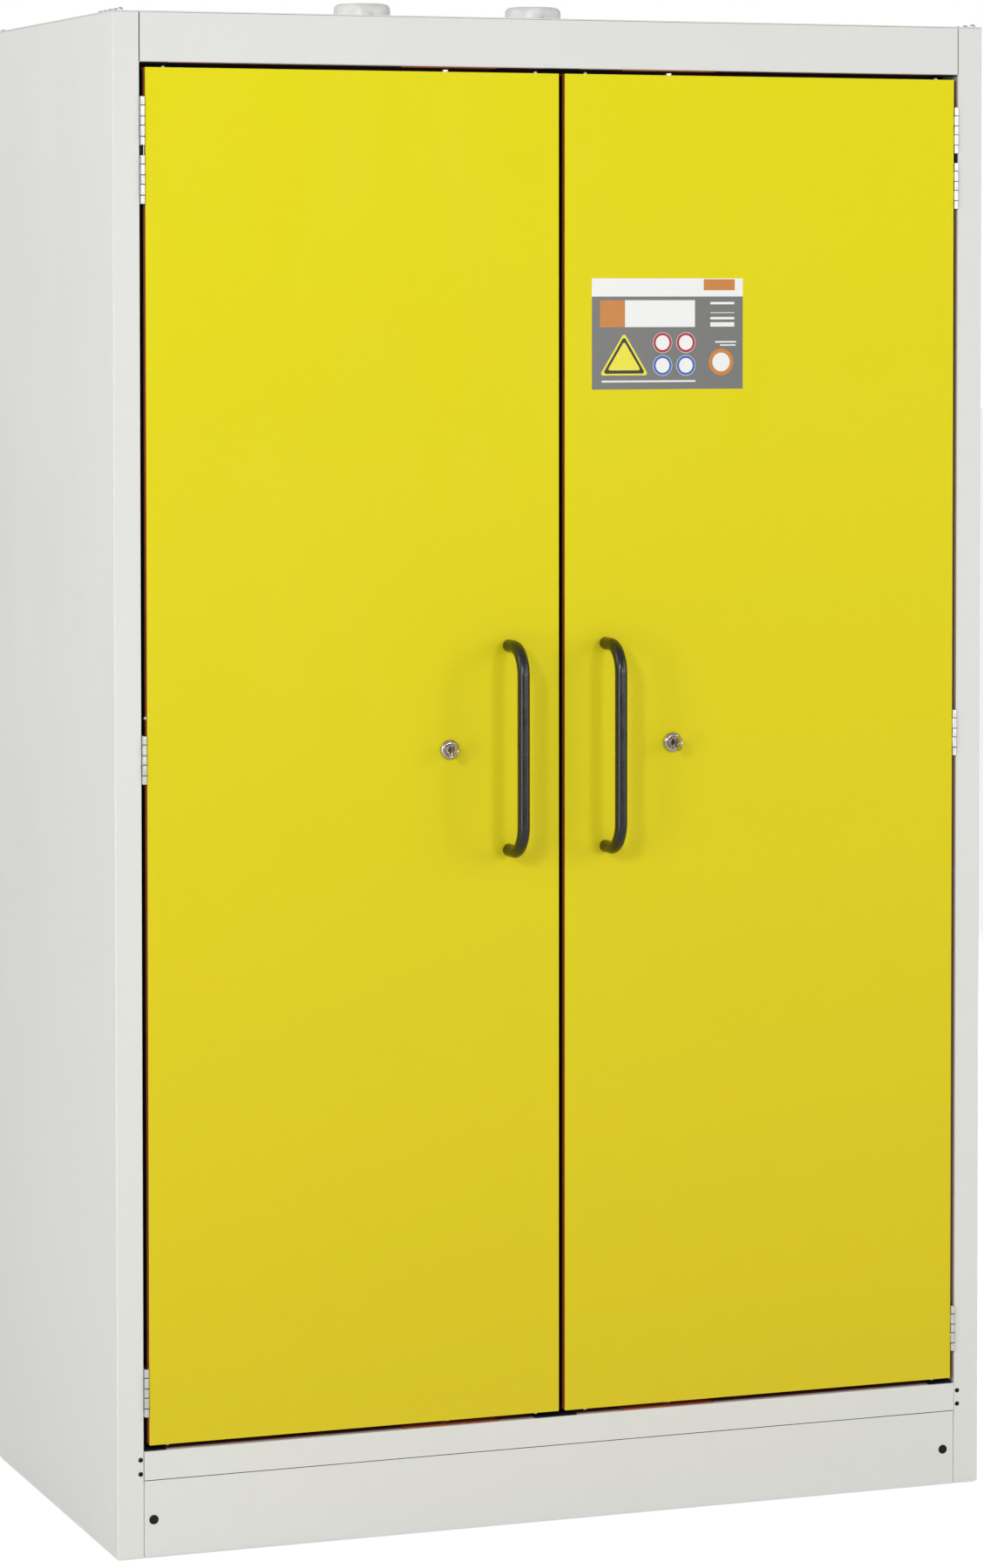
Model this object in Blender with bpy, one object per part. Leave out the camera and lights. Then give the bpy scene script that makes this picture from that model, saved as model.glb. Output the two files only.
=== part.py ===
"""Flammable storage cabinet: a two-door, fire-insulated cabinet for flammable liquids.

Units are metres, +Z is up, the front faces -Y and +X is to the viewer's right.  The origin is on
the floor, in the middle of the whole object's box (the handles stand in front of the housing, so
the housing's own middle lies a little behind it).  Places front to back are given as a depth
behind the housing's front plane.
"""

import math

import bmesh
import bpy
from mathutils import Matrix, Vector

# ---- driving dimensions -------------------------------------------------------------------
WIDTH = 1.195
DEPTH = 0.600
HEIGHT = 1.950
HANDLE_REACH = 0.0666          # how far the handles stand in front of the housing
FRONT_Y = HANDLE_REACH / 2 - DEPTH / 2

GAP = 0.0003                   # between pieces that touch
SHEET = 0.0012                 # panel sheet
ROOF_SHEET = 0.0015
FLOOR_CLEARANCE = 0.002        # panels end this far above the floor
HALF = WIDTH / 2

# ---- openings in the front ----------------------------------------------------------------
POST_WIDTH = 0.035
POST_RETURN = 0.055            # depth of the post's inner return
POST_INNER = HALF - POST_WIDTH
HEADER_BOTTOM = 1.8860
SILL_TOP = 0.1365
SILL_BOTTOM = 0.0995
PLINTH_TOP = 0.0986
CHANNEL_DEPTH = 0.055          # header and sill flanges
PANEL_TOP = HEIGHT - ROOF_SHEET - GAP

# ---- insulation ---------------------------------------------------------------------------
INNER_HALF = 0.5410            # half the inner width
INNER_FRONT = 0.0568           # front face of the boards the seal sits on
INNER_REAR = 0.5430
INNER_FLOOR = 0.1560
INNER_CEILING = 1.8680
BOARD_BOTTOM = 0.1000
REAR_SHEET_FRONT = DEPTH - SHEET

# ---- doors --------------------------------------------------------------------------------
DOOR_BOTTOM = 0.1440
DOOR_TOP = 1.8794
DOOR_EDGE = 0.5557             # hinge-side edge of each door, from the middle
DOOR_MEET = 0.0042             # meeting edge of each door, from the middle
DOOR_FACE = -0.0020            # depth of the door's front face
SKIN = 0.0015
CORE_FRONT = DOOR_FACE + SKIN + GAP
CORE_REAR = 0.0475

# ---- hinges -------------------------------------------------------------------------------
HINGE_X = 0.5592
HINGE_DEPTH = -0.0020
HINGE_HEIGHT = 0.0610
BARREL_R = 0.0030
PIN_R = 0.0015
PIN_BORE_R = 0.00165
LEAF = 0.0015
LEAF_REAR = 0.0260
KNUCKLES = (0.0110, 0.0137, 0.0116, 0.0137, 0.0110)
HINGE_SETS = {"top": (1.8125, 1.7390), "middle": (1.0115,), "bottom": (0.2110,)}

# ---- handles ------------------------------------------------------------------------------
HANDLE_X = {"left": -0.0735, "right": 0.0602}
HANDLE_R = 0.0080
HANDLE_MID_Z = 1.0115
HANDLE_SPAN = 0.2640           # between the legs' centres
HANDLE_BEND = 0.0360

# ---- locks --------------------------------------------------------------------------------
LOCK_X = 0.1540
LOCK_Z = 1.0115
ROSETTE_R = 0.0130
ROSETTE_HEIGHT = 0.0045
TUBE_R = 0.0098
TUBE_HOLE_R = 0.0104
PLUG_R = 0.0072
PLUG_BORE_R = 0.0076
CAM_R = 0.0125
ROD_R = 0.0050
ROD_DEPTH = 0.0140
ROD_CHANNEL = 0.0120           # square way for the rods
ROD_START = 0.0165             # rod end, from the lock's axis
ROD_PROUD = 0.0035             # rod end beyond the door's edge when unlocked
CASE_HALF = (0.0250, 0.0450)   # half width and half height of the lock case
CASE_FRONT = 0.0045            # the case's box, behind the tube through the door
CAM_SPACE = (0.0100, 0.0180)   # depths of the room that the cam turns in
CAM_DEPTHS = (0.0120, 0.0160)
PLUG_END = 0.0240
KEY_BOW_R = 0.0100
KEY_THICK = 0.0022
KEY_BOW_DEPTH = -0.0250

# ---- strikes ------------------------------------------------------------------------------
STRIKE_X = 0.1505
STRIKE_WIDTH = 0.1300
STRIKE_DEPTHS = (0.0040, 0.0440)
STRIKE_BITE = 0.0015           # how far a strike stands out of its channel, towards the door
STRIKE_HEIGHT = 0.0270
STRIKE_HOLE_R = 0.0068

# ---- roof vents ---------------------------------------------------------------------------
VENT_X = 0.1237
VENT_DEPTH = 0.4400
VENT_R = 0.0385
VENT_HEIGHT = 0.0390
VENT_STUB_R = 0.0250
VENT_HOLE_R = 0.0045
VENT_HOLE_Z = 0.0175

# ---- inside -------------------------------------------------------------------------------
UPRIGHT_THICK = 0.0030
UPRIGHT_WIDTH = 0.0250
UPRIGHT_DEPTHS = (0.0950, 0.4550)
UPRIGHT_SPAN = (0.2600, 1.8200)
SHELF_DEPTHS = (0.0750, 0.4900)
SHELF_LIP = 0.0300
SHELF_TOPS = {"lower": 0.6200, "middle": 1.0200, "upper": 1.4200}
TRAY_HALF = 0.5300
TRAY_HEIGHT = 0.0800
DUCT_HALF = 0.0550
DUCT_DEPTH = 0.0300
DUCT_HEAD_HEIGHT = 0.0360
DUCT_BOTTOM = 0.2600

# ---- base ---------------------------------------------------------------------------------
BASE_BOTTOM = 0.0300
BASE_TOP = BOARD_BOTTOM - GAP
BASE_FRONT = 0.0580
BASE_BAR = 0.0500
FOOT_X = 0.5660
FOOT_DEPTHS = (0.0830, 0.5680)
FOOT_PAD_R = 0.0240
FOOT_STEM_R = 0.0080

SIDES = {"left": -1, "right": 1}


# ---- materials ----------------------------------------------------------------------------
def material(name, colour, roughness, metallic=0.0):
    """A Principled material with one colour."""
    mat = bpy.data.materials.get(name)
    if mat is None:
        mat = bpy.data.materials.new(name)
        mat.use_nodes = True
        shader = mat.node_tree.nodes["Principled BSDF"]
        shader.inputs["Base Color"].default_value = (*colour, 1.0)
        shader.inputs["Roughness"].default_value = roughness
        shader.inputs["Metallic"].default_value = metallic
        mat.diffuse_color = (*colour, 1.0)
    return mat


def grey_paint():
    """Light grey powder coat of the housing."""
    return material("light_grey_paint", (0.78, 0.79, 0.76), 0.55)


def yellow_paint():
    """Bright yellow powder coat of the doors."""
    return material("yellow_paint", (0.82, 0.72, 0.02), 0.45)


def brown_board():
    """Red-brown faced fire board."""
    return material("red_brown_board", (0.19, 0.035, 0.012), 0.7)


def white_board():
    """White-faced fire insulation board."""
    return material("white_board", (0.80, 0.80, 0.77), 0.6)


def black_bar():
    """Satin black coated steel."""
    return material("black_coat", (0.012, 0.012, 0.013), 0.35)


def zinc():
    """Bright zinc plated steel."""
    return material("bright_zinc", (0.72, 0.73, 0.75), 0.28, 1.0)


def nickel():
    """Nickel plated brass of the locks."""
    return material("nickel", (0.70, 0.68, 0.64), 0.2, 1.0)


def black_rubber():
    """Black rubber of seal and feet."""
    return material("black_rubber", (0.02, 0.02, 0.02), 0.8)


def white_plastic():
    """White moulded plastic of the vent caps."""
    return material("white_plastic", (0.86, 0.87, 0.85), 0.4)


# ---- shape helpers ------------------------------------------------------------------------
def place(x, depth, z):
    """A point from its x, its depth behind the housing's front plane, and its height."""
    return Vector((x, FRONT_Y + depth, z))


def new_object(name, mesh, mat=None, parent=None):
    """Link a mesh as an object; under a parent it keeps its world place."""
    obj = bpy.data.objects.new(name, mesh)
    bpy.context.scene.collection.objects.link(obj)
    if mat is not None:
        mesh.materials.append(mat)
    if parent is not None:
        obj.parent = parent
        obj.matrix_parent_inverse = Matrix.Translation(-parent.location)
    return obj


def mesh_from(bm, name):
    """Finish a bmesh as a mesh with its faces pointing out."""
    bmesh.ops.recalc_face_normals(bm, faces=bm.faces)
    mesh = bpy.data.meshes.new(name)
    bm.to_mesh(mesh)
    bm.free()
    return mesh


def box_mesh(name, xs, depths, zs):
    """A box between two x, two depths and two heights."""
    low = place(min(xs), min(depths), min(zs))
    high = place(max(xs), max(depths), max(zs))
    bm = bmesh.new()
    bmesh.ops.create_cube(bm, size=1.0)
    bmesh.ops.scale(bm, vec=high - low, verts=bm.verts)
    bmesh.ops.translate(bm, vec=(high + low) / 2, verts=bm.verts)
    return mesh_from(bm, name)


def prism_mesh(name, outline, span, along="z"):
    """Extrude an outline: (x, depth) points along z, or (depth, z) points along x."""
    bm = bmesh.new()
    if along == "z":
        ring = [bm.verts.new(place(x, depth, span[0])) for x, depth in outline]
        step = Vector((0, 0, span[1] - span[0]))
    else:
        ring = [bm.verts.new(place(span[0], depth, z)) for depth, z in outline]
        step = Vector((span[1] - span[0], 0, 0))
    face = bm.faces.new(ring)
    moved = bmesh.ops.extrude_face_region(bm, geom=[face])["geom"]
    bmesh.ops.translate(bm, vec=step, verts=[v for v in moved if isinstance(v, bmesh.types.BMVert)])
    return mesh_from(bm, name)


def turned_mesh(name, profile, centre, segments=24, along="z"):
    """Turn a closed (radius, height) profile about an axis through centre."""
    bm = bmesh.new()
    rings = []
    for radius, height in profile:
        if radius == 0.0:
            rings.append([bm.verts.new((0, 0, height))])
            continue
        ring = []
        for i in range(segments):
            angle = 2 * math.pi * i / segments
            ring.append(bm.verts.new((radius * math.cos(angle), radius * math.sin(angle), height)))
        rings.append(ring)
    for low, high in zip(rings, rings[1:]):
        for i in range(segments):
            j = (i + 1) % segments
            corners = [low[i % len(low)], low[j % len(low)], high[j % len(high)], high[i % len(high)]]
            unique = list(dict.fromkeys(corners))
            bm.faces.new(unique)
    if along == "depth":
        bmesh.ops.rotate(bm, matrix=Matrix.Rotation(-math.pi / 2, 3, "X"), verts=bm.verts)
    bmesh.ops.translate(bm, vec=centre, verts=bm.verts)
    mesh = mesh_from(bm, name)
    mesh.shade_smooth()
    mesh.set_sharp_from_angle(angle=math.radians(35))
    return mesh


def rod_mesh(name, radius, low, high, centre, segments=16, along="z"):
    """A plain round bar between two heights along its axis."""
    profile = [(0.0, low), (radius, low), (radius, high), (0.0, high)]
    return turned_mesh(name, profile, centre, segments, along)


def helper(mesh):
    """A hidden shape that only a Boolean uses."""
    obj = new_object("helper_" + mesh.name, mesh)
    obj.hide_render = True
    obj.display_type = "WIRE"
    return obj


def combine(obj, operation, meshes):
    """Add or cut helper shapes, one Boolean modifier each."""
    for mesh in meshes:
        modifier = obj.modifiers.new(operation.lower(), "BOOLEAN")
        modifier.operation = operation
        modifier.solver = "EXACT"
        modifier.object = helper(mesh)


def pivot(name, location):
    """An empty on a joint's axis."""
    empty = bpy.data.objects.new(name, None)
    empty.location = location
    bpy.context.scene.collection.objects.link(empty)
    return empty


def box(name, xs, depths, zs, mat, parent=None):
    """A plain board or bar."""
    return new_object(name, box_mesh(name, xs, depths, zs), mat, parent)


# ---- housing ------------------------------------------------------------------------------
def side_panel(side, sign):
    """Outer sheet folded round the front into the post and its inner return."""
    outer = HALF
    inner = POST_INNER
    outline = [
        (outer, 0.0),
        (outer, REAR_SHEET_FRONT - GAP),
        (outer - SHEET, REAR_SHEET_FRONT - GAP),
        (outer - SHEET, SHEET),
        (inner + SHEET, SHEET),
        (inner + SHEET, POST_RETURN),
        (inner, POST_RETURN),
        (inner, 0.0),
    ]
    outline = [(sign * x, depth) for x, depth in outline]
    mesh = prism_mesh(side + "_side_panel", outline, (FLOOR_CLEARANCE, PANEL_TOP))
    new_object(side + "_side_panel", mesh, grey_paint())


def rear_panel():
    """Flat sheet over the whole back."""
    zs = (FLOOR_CLEARANCE, PANEL_TOP)
    box("rear_panel", (-HALF, HALF), (REAR_SHEET_FRONT, DEPTH), zs, grey_paint())


def stub_holes(name, zs):
    """Cutters for the two vent stubs."""
    cutters = []
    for side, sign in SIDES.items():
        centre = place(sign * VENT_X, VENT_DEPTH, 0)
        cutters.append(rod_mesh(f"{name}_{side}", VENT_STUB_R + 2 * GAP, *zs, centre, 24))
    return cutters


def roof_panel():
    """Flat sheet over the whole top, with the vent holes."""
    zs = (HEIGHT - ROOF_SHEET, HEIGHT)
    roof = box("roof_panel", (-HALF, HALF), (0.0, DEPTH), zs, grey_paint())
    combine(roof, "DIFFERENCE", stub_holes("roof_hole", (HEIGHT - 0.01, HEIGHT + 0.01)))


def strike_cutters(name, zs):
    """Cutters for the strike windows of a header or sill flange."""
    cutters = []
    margin = 2 * GAP
    for side, sign in SIDES.items():
        xs = (sign * STRIKE_X - STRIKE_WIDTH / 2 - margin, sign * STRIKE_X + STRIKE_WIDTH / 2 + margin)
        depths = (STRIKE_DEPTHS[0] - margin, STRIKE_DEPTHS[1] + margin)
        cutters.append(box_mesh(f"{name}_{side}", xs, depths, zs))
    return cutters


def channel(name, front_zs, flange_z, flange_sign, strikes):
    """Front plate with a flange turned back along the door opening."""
    low, high = front_zs
    back = flange_z + flange_sign * SHEET
    far = high if flange_sign > 0 else low
    outline = [
        (0.0, flange_z),
        (CHANNEL_DEPTH, flange_z),
        (CHANNEL_DEPTH, back),
        (SHEET, back),
        (SHEET, far),
        (0.0, far),
    ]
    reach = POST_INNER - GAP
    obj = new_object(name, prism_mesh(name, outline, (-reach, reach), "x"), grey_paint())
    combine(obj, "DIFFERENCE", strike_cutters(name + "_window", strikes))


def strike(side, sign, level, door_side_z, direction):
    """Red-brown block that takes a locking rod."""
    name = f"{side}_{level}_strike"
    near = door_side_z - direction * STRIKE_BITE
    far = near + direction * STRIKE_HEIGHT
    xs = (sign * STRIKE_X - STRIKE_WIDTH / 2, sign * STRIKE_X + STRIKE_WIDTH / 2)
    block = box(name, xs, STRIKE_DEPTHS, (near, far), brown_board())
    centre = place(sign * LOCK_X, ROD_DEPTH, 0)
    hole = rod_mesh(name + "_hole", STRIKE_HOLE_R, min(near, far) - 0.01, max(near, far) + 0.01, centre)
    combine(block, "DIFFERENCE", [hole])


def plinth_cover():
    """Kick plate between the posts, with short flanges turned back."""
    reach = POST_INNER - GAP
    flange = 0.020
    outline = [
        (-reach, 0.0),
        (reach, 0.0),
        (reach, flange),
        (reach - SHEET, flange),
        (reach - SHEET, SHEET),
        (-reach + SHEET, SHEET),
        (-reach + SHEET, flange),
        (-reach, flange),
    ]
    mesh = prism_mesh("plinth_cover", outline, (FLOOR_CLEARANCE, PLINTH_TOP))
    new_object("plinth_cover", mesh, grey_paint())


def base_frame():
    """Rectangular base of heavy bars, bored for the levelling feet."""
    half = HALF - SHEET - 2 * GAP
    rear = REAR_SHEET_FRONT - GAP
    zs = (BASE_BOTTOM, BASE_TOP)
    frame = box("base_frame", (-half, half), (BASE_FRONT, rear), zs, black_bar())
    inner_xs = (-half + BASE_BAR, half - BASE_BAR)
    inner_depths = (BASE_FRONT + BASE_BAR, rear - BASE_BAR)
    cutters = [box_mesh("base_window", inner_xs, inner_depths, (0.0, BASE_TOP + 0.02))]
    for sign in SIDES.values():
        for i, depth in enumerate(FOOT_DEPTHS):
            centre = place(sign * FOOT_X, depth, 0)
            name = f"foot_bore_{sign}_{i}"
            cutters.append(rod_mesh(name, FOOT_STEM_R + 0.0005, 0.0, BASE_TOP + 0.02, centre))
    combine(frame, "DIFFERENCE", cutters)


def foot(name, x, depth):
    """Levelling foot: pad, lock collar under the frame, and threaded stem."""
    seat = BASE_BOTTOM - GAP
    profile = [
        (0.0, 0.0),
        (FOOT_PAD_R, 0.0),
        (FOOT_PAD_R, 0.007),
        (0.014, 0.012),
        (0.014, seat),
        (FOOT_STEM_R, seat),
        (FOOT_STEM_R, BASE_TOP - 0.010),
        (0.0, BASE_TOP - 0.010),
    ]
    centre = place(x, depth, 0)
    parent = pivot(name + "_slide", centre)
    new_object(name, turned_mesh(name, profile, centre, 20), zinc(), parent)


# ---- insulation ---------------------------------------------------------------------------
def side_insulation(side, sign):
    """Board that fills the post and steps in behind the door's seal."""
    outer = HALF - SHEET - GAP
    step = POST_INNER + SHEET + GAP
    rear = REAR_SHEET_FRONT - GAP
    outline = [
        (outer, SHEET + GAP),
        (outer, rear),
        (INNER_HALF, rear),
        (INNER_HALF, INNER_FRONT),
        (step, INNER_FRONT),
        (step, SHEET + GAP),
    ]
    outline = [(sign * x, depth) for x, depth in outline]
    name = side + "_side_insulation"
    new_object(name, prism_mesh(name, outline, (BOARD_BOTTOM, PANEL_TOP - GAP)), white_board())


def inner_boards():
    """Rear, roof and floor boards between the side boards."""
    reach = (-INNER_HALF + GAP, INNER_HALF - GAP)
    between = (INNER_FRONT, INNER_REAR - GAP)
    rear = (INNER_REAR, REAR_SHEET_FRONT - GAP)
    top = PANEL_TOP - GAP
    box("rear_insulation", reach, rear, (BOARD_BOTTOM, top), white_board())
    box("floor_insulation", reach, between, (BOARD_BOTTOM, INNER_FLOOR), white_board())
    roof = box("roof_insulation", reach, between, (INNER_CEILING, top), white_board())
    combine(roof, "DIFFERENCE", stub_holes("roof_board_hole", (INNER_CEILING - 0.01, top + 0.01)))


def door_seal():
    """Rubber ring on the boards' front faces, which the closed doors press on."""
    outer_x = INNER_HALF + 0.0135
    inner_x = INNER_HALF + 0.0010
    outer_zs = (INNER_FLOOR - 0.0100, INNER_CEILING + 0.0105)
    inner_zs = (INNER_FLOOR, INNER_CEILING + 0.0005)
    depths = (CORE_REAR + GAP, INNER_FRONT - GAP)
    ring = box("door_seal", (-outer_x, outer_x), depths, outer_zs, black_rubber())
    window = box_mesh("seal_window", (-inner_x, inner_x), (depths[0] - 0.01, depths[1] + 0.01), inner_zs)
    combine(ring, "DIFFERENCE", [window])


# ---- vents and duct -----------------------------------------------------------------------
def vent_cap(side, sign):
    """Closed round cap with a rounded rim, and its stub down through the roof."""
    name = side + "_vent_cap"
    rim = 0.007
    base = HEIGHT + GAP
    profile = [(0.0, INNER_CEILING), (VENT_STUB_R, INNER_CEILING), (VENT_STUB_R, base), (VENT_R, base)]
    for i in range(5):
        angle = math.radians(90 * i / 4)
        radius = VENT_R - rim + rim * math.cos(angle)
        profile.append((radius, HEIGHT + VENT_HEIGHT - rim + rim * math.sin(angle)))
    profile.append((0.0, HEIGHT + VENT_HEIGHT))
    centre = place(sign * VENT_X, VENT_DEPTH, 0)
    cap = new_object(name, turned_mesh(name, profile, centre, 36), white_plastic())
    hole_centre = place(sign * VENT_X, VENT_DEPTH, HEIGHT + VENT_HOLE_Z)
    hole = rod_mesh(name + "_hole", VENT_HOLE_R, -VENT_R - 0.01, -VENT_R + 0.006, hole_centre, 16, "depth")
    combine(cap, "DIFFERENCE", [hole])


def exhaust_duct():
    """Sheet duct: a head under the right vent and a channel down the rear wall, open below."""
    top = INNER_CEILING - GAP
    head_bottom = top - DUCT_HEAD_HEIGHT
    head_front = VENT_DEPTH - VENT_STUB_R - 0.010
    rear = INNER_REAR - GAP
    channel_front = rear - DUCT_DEPTH
    outline = [
        (head_front, top),
        (rear, top),
        (rear, DUCT_BOTTOM),
        (channel_front, DUCT_BOTTOM),
        (channel_front, head_bottom),
        (head_front, head_bottom),
    ]
    xs = (VENT_X - DUCT_HALF, VENT_X + DUCT_HALF)
    duct = new_object("exhaust_duct", prism_mesh("exhaust_duct", outline, xs, "x"), grey_paint())
    inside = [
        (head_front + SHEET, top + 0.01),
        (rear + 0.01, top + 0.01),
        (rear + 0.01, DUCT_BOTTOM - 0.01),
        (channel_front + SHEET, DUCT_BOTTOM - 0.01),
        (channel_front + SHEET, head_bottom + SHEET),
        (head_front + SHEET, head_bottom + SHEET),
    ]
    inner_xs = (xs[0] + SHEET, xs[1] - SHEET)
    combine(duct, "DIFFERENCE", [prism_mesh("duct_inside", inside, inner_xs, "x")])


# ---- inside fittings ----------------------------------------------------------------------
def shelf_upright(side, sign, end, depth):
    """Perforated strip that the shelves hook into."""
    xs = (sign * (INNER_HALF - GAP), sign * (INNER_HALF - GAP - UPRIGHT_THICK))
    name = f"{side}_{end}_shelf_upright"
    box(name, xs, (depth, depth + UPRIGHT_WIDTH), UPRIGHT_SPAN, zinc())


def open_tray(name, half, depths, zs, mat, open_above):
    """Folded sheet with four walls: a tray when open above, a shelf or insert when open below."""
    tray = box(name, (-half, half), depths, zs, mat)
    low, high = (zs[0] + SHEET, zs[1] + 0.01) if open_above else (zs[0] - 0.01, zs[1] - SHEET)
    inside = box_mesh(
        name + "_inside",
        (-half + SHEET, half - SHEET),
        (depths[0] + SHEET, depths[1] - SHEET),
        (low, high),
    )
    combine(tray, "DIFFERENCE", [inside])


def shelves():
    """Three lift-out shelves between the uprights."""
    half = INNER_HALF - UPRIGHT_THICK - 2 * GAP
    for level, top in SHELF_TOPS.items():
        open_tray(level + "_shelf", half, SHELF_DEPTHS, (top - SHELF_LIP, top), grey_paint(), False)


def sump():
    """Floor tray that catches spills, and the perforated insert that stands in it."""
    floor = INNER_FLOOR + GAP
    open_tray("sump_tray", TRAY_HALF, SHELF_DEPTHS, (floor, floor + TRAY_HEIGHT), grey_paint(), True)
    inset = SHEET + 0.0015
    depths = (SHELF_DEPTHS[0] + inset, SHELF_DEPTHS[1] - inset)
    zs = (floor + SHEET + GAP, floor + TRAY_HEIGHT - 0.020)
    open_tray("sump_insert", TRAY_HALF - inset, depths, zs, zinc(), False)


# ---- doors --------------------------------------------------------------------------------
def door_skin(side, sign, parent):
    """Thin yellow front sheet, with the hole for the lock."""
    xs = (sign * DOOR_MEET, sign * DOOR_EDGE)
    depths = (DOOR_FACE, DOOR_FACE + SKIN)
    name = side + "_door_skin"
    skin = box(name, xs, depths, (DOOR_BOTTOM, DOOR_TOP), yellow_paint(), parent)
    centre = place(sign * LOCK_X, 0, LOCK_Z)
    combine(skin, "DIFFERENCE", [rod_mesh(name + "_hole", TUBE_HOLE_R, -0.02, 0.02, centre, 24, "depth")])


def door_core(side, sign, parent):
    """Fire board core, tunnelled for the locking rods and pocketed for the lock case."""
    xs = (sign * DOOR_MEET, sign * DOOR_EDGE)
    name = side + "_door_core"
    core = box(name, xs, (CORE_FRONT, CORE_REAR), (DOOR_BOTTOM, DOOR_TOP), brown_board(), parent)
    x = sign * LOCK_X
    half = ROD_CHANNEL / 2
    tunnel = box_mesh(
        name + "_tunnel",
        (x - half, x + half),
        (ROD_DEPTH - half, ROD_DEPTH + half),
        (DOOR_BOTTOM - 0.01, DOOR_TOP + 0.01),
    )
    case_x, case_z = CASE_HALF
    slack = 2 * GAP
    pocket = box_mesh(
        name + "_pocket",
        (x - case_x - slack, x + case_x + slack),
        (CASE_FRONT - slack, CORE_REAR + 0.01),
        (LOCK_Z - case_z - slack, LOCK_Z + case_z + slack),
    )
    hole = rod_mesh(name + "_hole", TUBE_HOLE_R, -0.02, 0.02, place(x, 0, LOCK_Z), 24, "depth")
    combine(core, "DIFFERENCE", [tunnel, pocket, hole])


def lock_case(side, sign, parent):
    """Rosette, cylinder tube and case in one casting, bored for the plug and the rods."""
    x = sign * LOCK_X
    name = side + "_lock_case"
    case_x, case_z = CASE_HALF
    centre = place(x, 0, LOCK_Z)
    face = DOOR_FACE - GAP
    profile = [
        (0.0, face - ROSETTE_HEIGHT),
        (ROSETTE_R - 0.0030, face - ROSETTE_HEIGHT),
        (ROSETTE_R - 0.0010, face - ROSETTE_HEIGHT + 0.0010),
        (ROSETTE_R, face - 0.0020),
        (ROSETTE_R, face),
        (TUBE_R, face),
        (TUBE_R, CASE_FRONT + 0.0020),
        (0.0, CASE_FRONT + 0.0020),
    ]
    case = new_object(name, turned_mesh(name, profile, centre, 32, "depth"), nickel(), parent)
    zs = (LOCK_Z - case_z, LOCK_Z + case_z)
    body = box_mesh(name + "_body", (x - case_x, x + case_x), (CASE_FRONT, CORE_REAR), zs)
    combine(case, "UNION", [body])
    half = ROD_CHANNEL / 2
    way = box_mesh(
        name + "_way",
        (x - half, x + half),
        (ROD_DEPTH - half, ROD_DEPTH + half),
        (zs[0] - 0.01, zs[1] + 0.01),
    )
    room_half = CAM_R + 0.0015
    room = box_mesh(
        name + "_room",
        (x - room_half, x + room_half),
        CAM_SPACE,
        (LOCK_Z - room_half, LOCK_Z + room_half),
    )
    bore = rod_mesh(name + "_bore", PLUG_BORE_R, -0.03, PLUG_END + GAP, centre, 24, "depth")
    combine(case, "DIFFERENCE", [bore, way, room])


def lock_key(side, sign, parent):
    """Plug with its cam, and the key in it: shank and round bow with a ring hole."""
    x = sign * LOCK_X
    name = side + "_lock_key"
    centre = place(x, 0, LOCK_Z)
    front = DOOR_FACE - GAP - ROSETTE_HEIGHT + 0.0006
    profile = [
        (0.0, front),
        (PLUG_R, front),
        (PLUG_R, CAM_DEPTHS[0]),
        (CAM_R, CAM_DEPTHS[0]),
        (CAM_R, CAM_DEPTHS[1]),
        (PLUG_R, CAM_DEPTHS[1]),
        (PLUG_R, PLUG_END),
        (0.0, PLUG_END),
    ]
    plug = new_object(name, turned_mesh(name, profile, centre, 24, "depth"), nickel(), parent)
    shank_half = 0.0038
    thick = (x - KEY_THICK / 2, x + KEY_THICK / 2)
    shank = box_mesh(
        name + "_shank",
        thick,
        (KEY_BOW_DEPTH + KEY_BOW_R * 0.7, front + 0.004),
        (LOCK_Z - shank_half, LOCK_Z + shank_half),
    )
    bow = round_plate(name + "_bow", KEY_BOW_R, thick, KEY_BOW_DEPTH, LOCK_Z, 24)
    combine(plug, "UNION", [shank, bow])
    hole_xs = (thick[0] - 0.01, thick[1] + 0.01)
    hole_depth = KEY_BOW_DEPTH - KEY_BOW_R * 0.45
    combine(plug, "DIFFERENCE", [round_plate(name + "_ring_hole", 0.0024, hole_xs, hole_depth, LOCK_Z, 12)])


def round_plate(name, radius, xs, depth, z, segments):
    """A round plate standing across x."""
    outline = []
    for i in range(segments):
        angle = 2 * math.pi * i / segments
        outline.append((depth + radius * math.cos(angle), z + radius * math.sin(angle)))
    return prism_mesh(name, outline, xs, "x")


def locking_rods(side, sign, door):
    """Upper and lower rod, from the lock to just past the door's edges."""
    centre = place(sign * LOCK_X, ROD_DEPTH, 0)
    spans = {
        "upper": (LOCK_Z + ROD_START, DOOR_TOP + ROD_PROUD),
        "lower": (DOOR_BOTTOM - ROD_PROUD, LOCK_Z - ROD_START),
    }
    for level, (low, high) in spans.items():
        name = f"{side}_{level}_locking_rod"
        parent = pivot(name + "_slide", place(sign * LOCK_X, ROD_DEPTH, (low + high) / 2))
        parent.parent = door
        parent.matrix_parent_inverse = Matrix.Translation(-door.location)
        new_object(name, rod_mesh(name, ROD_R, low, high, centre), zinc()).parent = parent
        bpy.data.objects[name].matrix_parent_inverse = Matrix.Translation(-parent.location)


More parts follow.
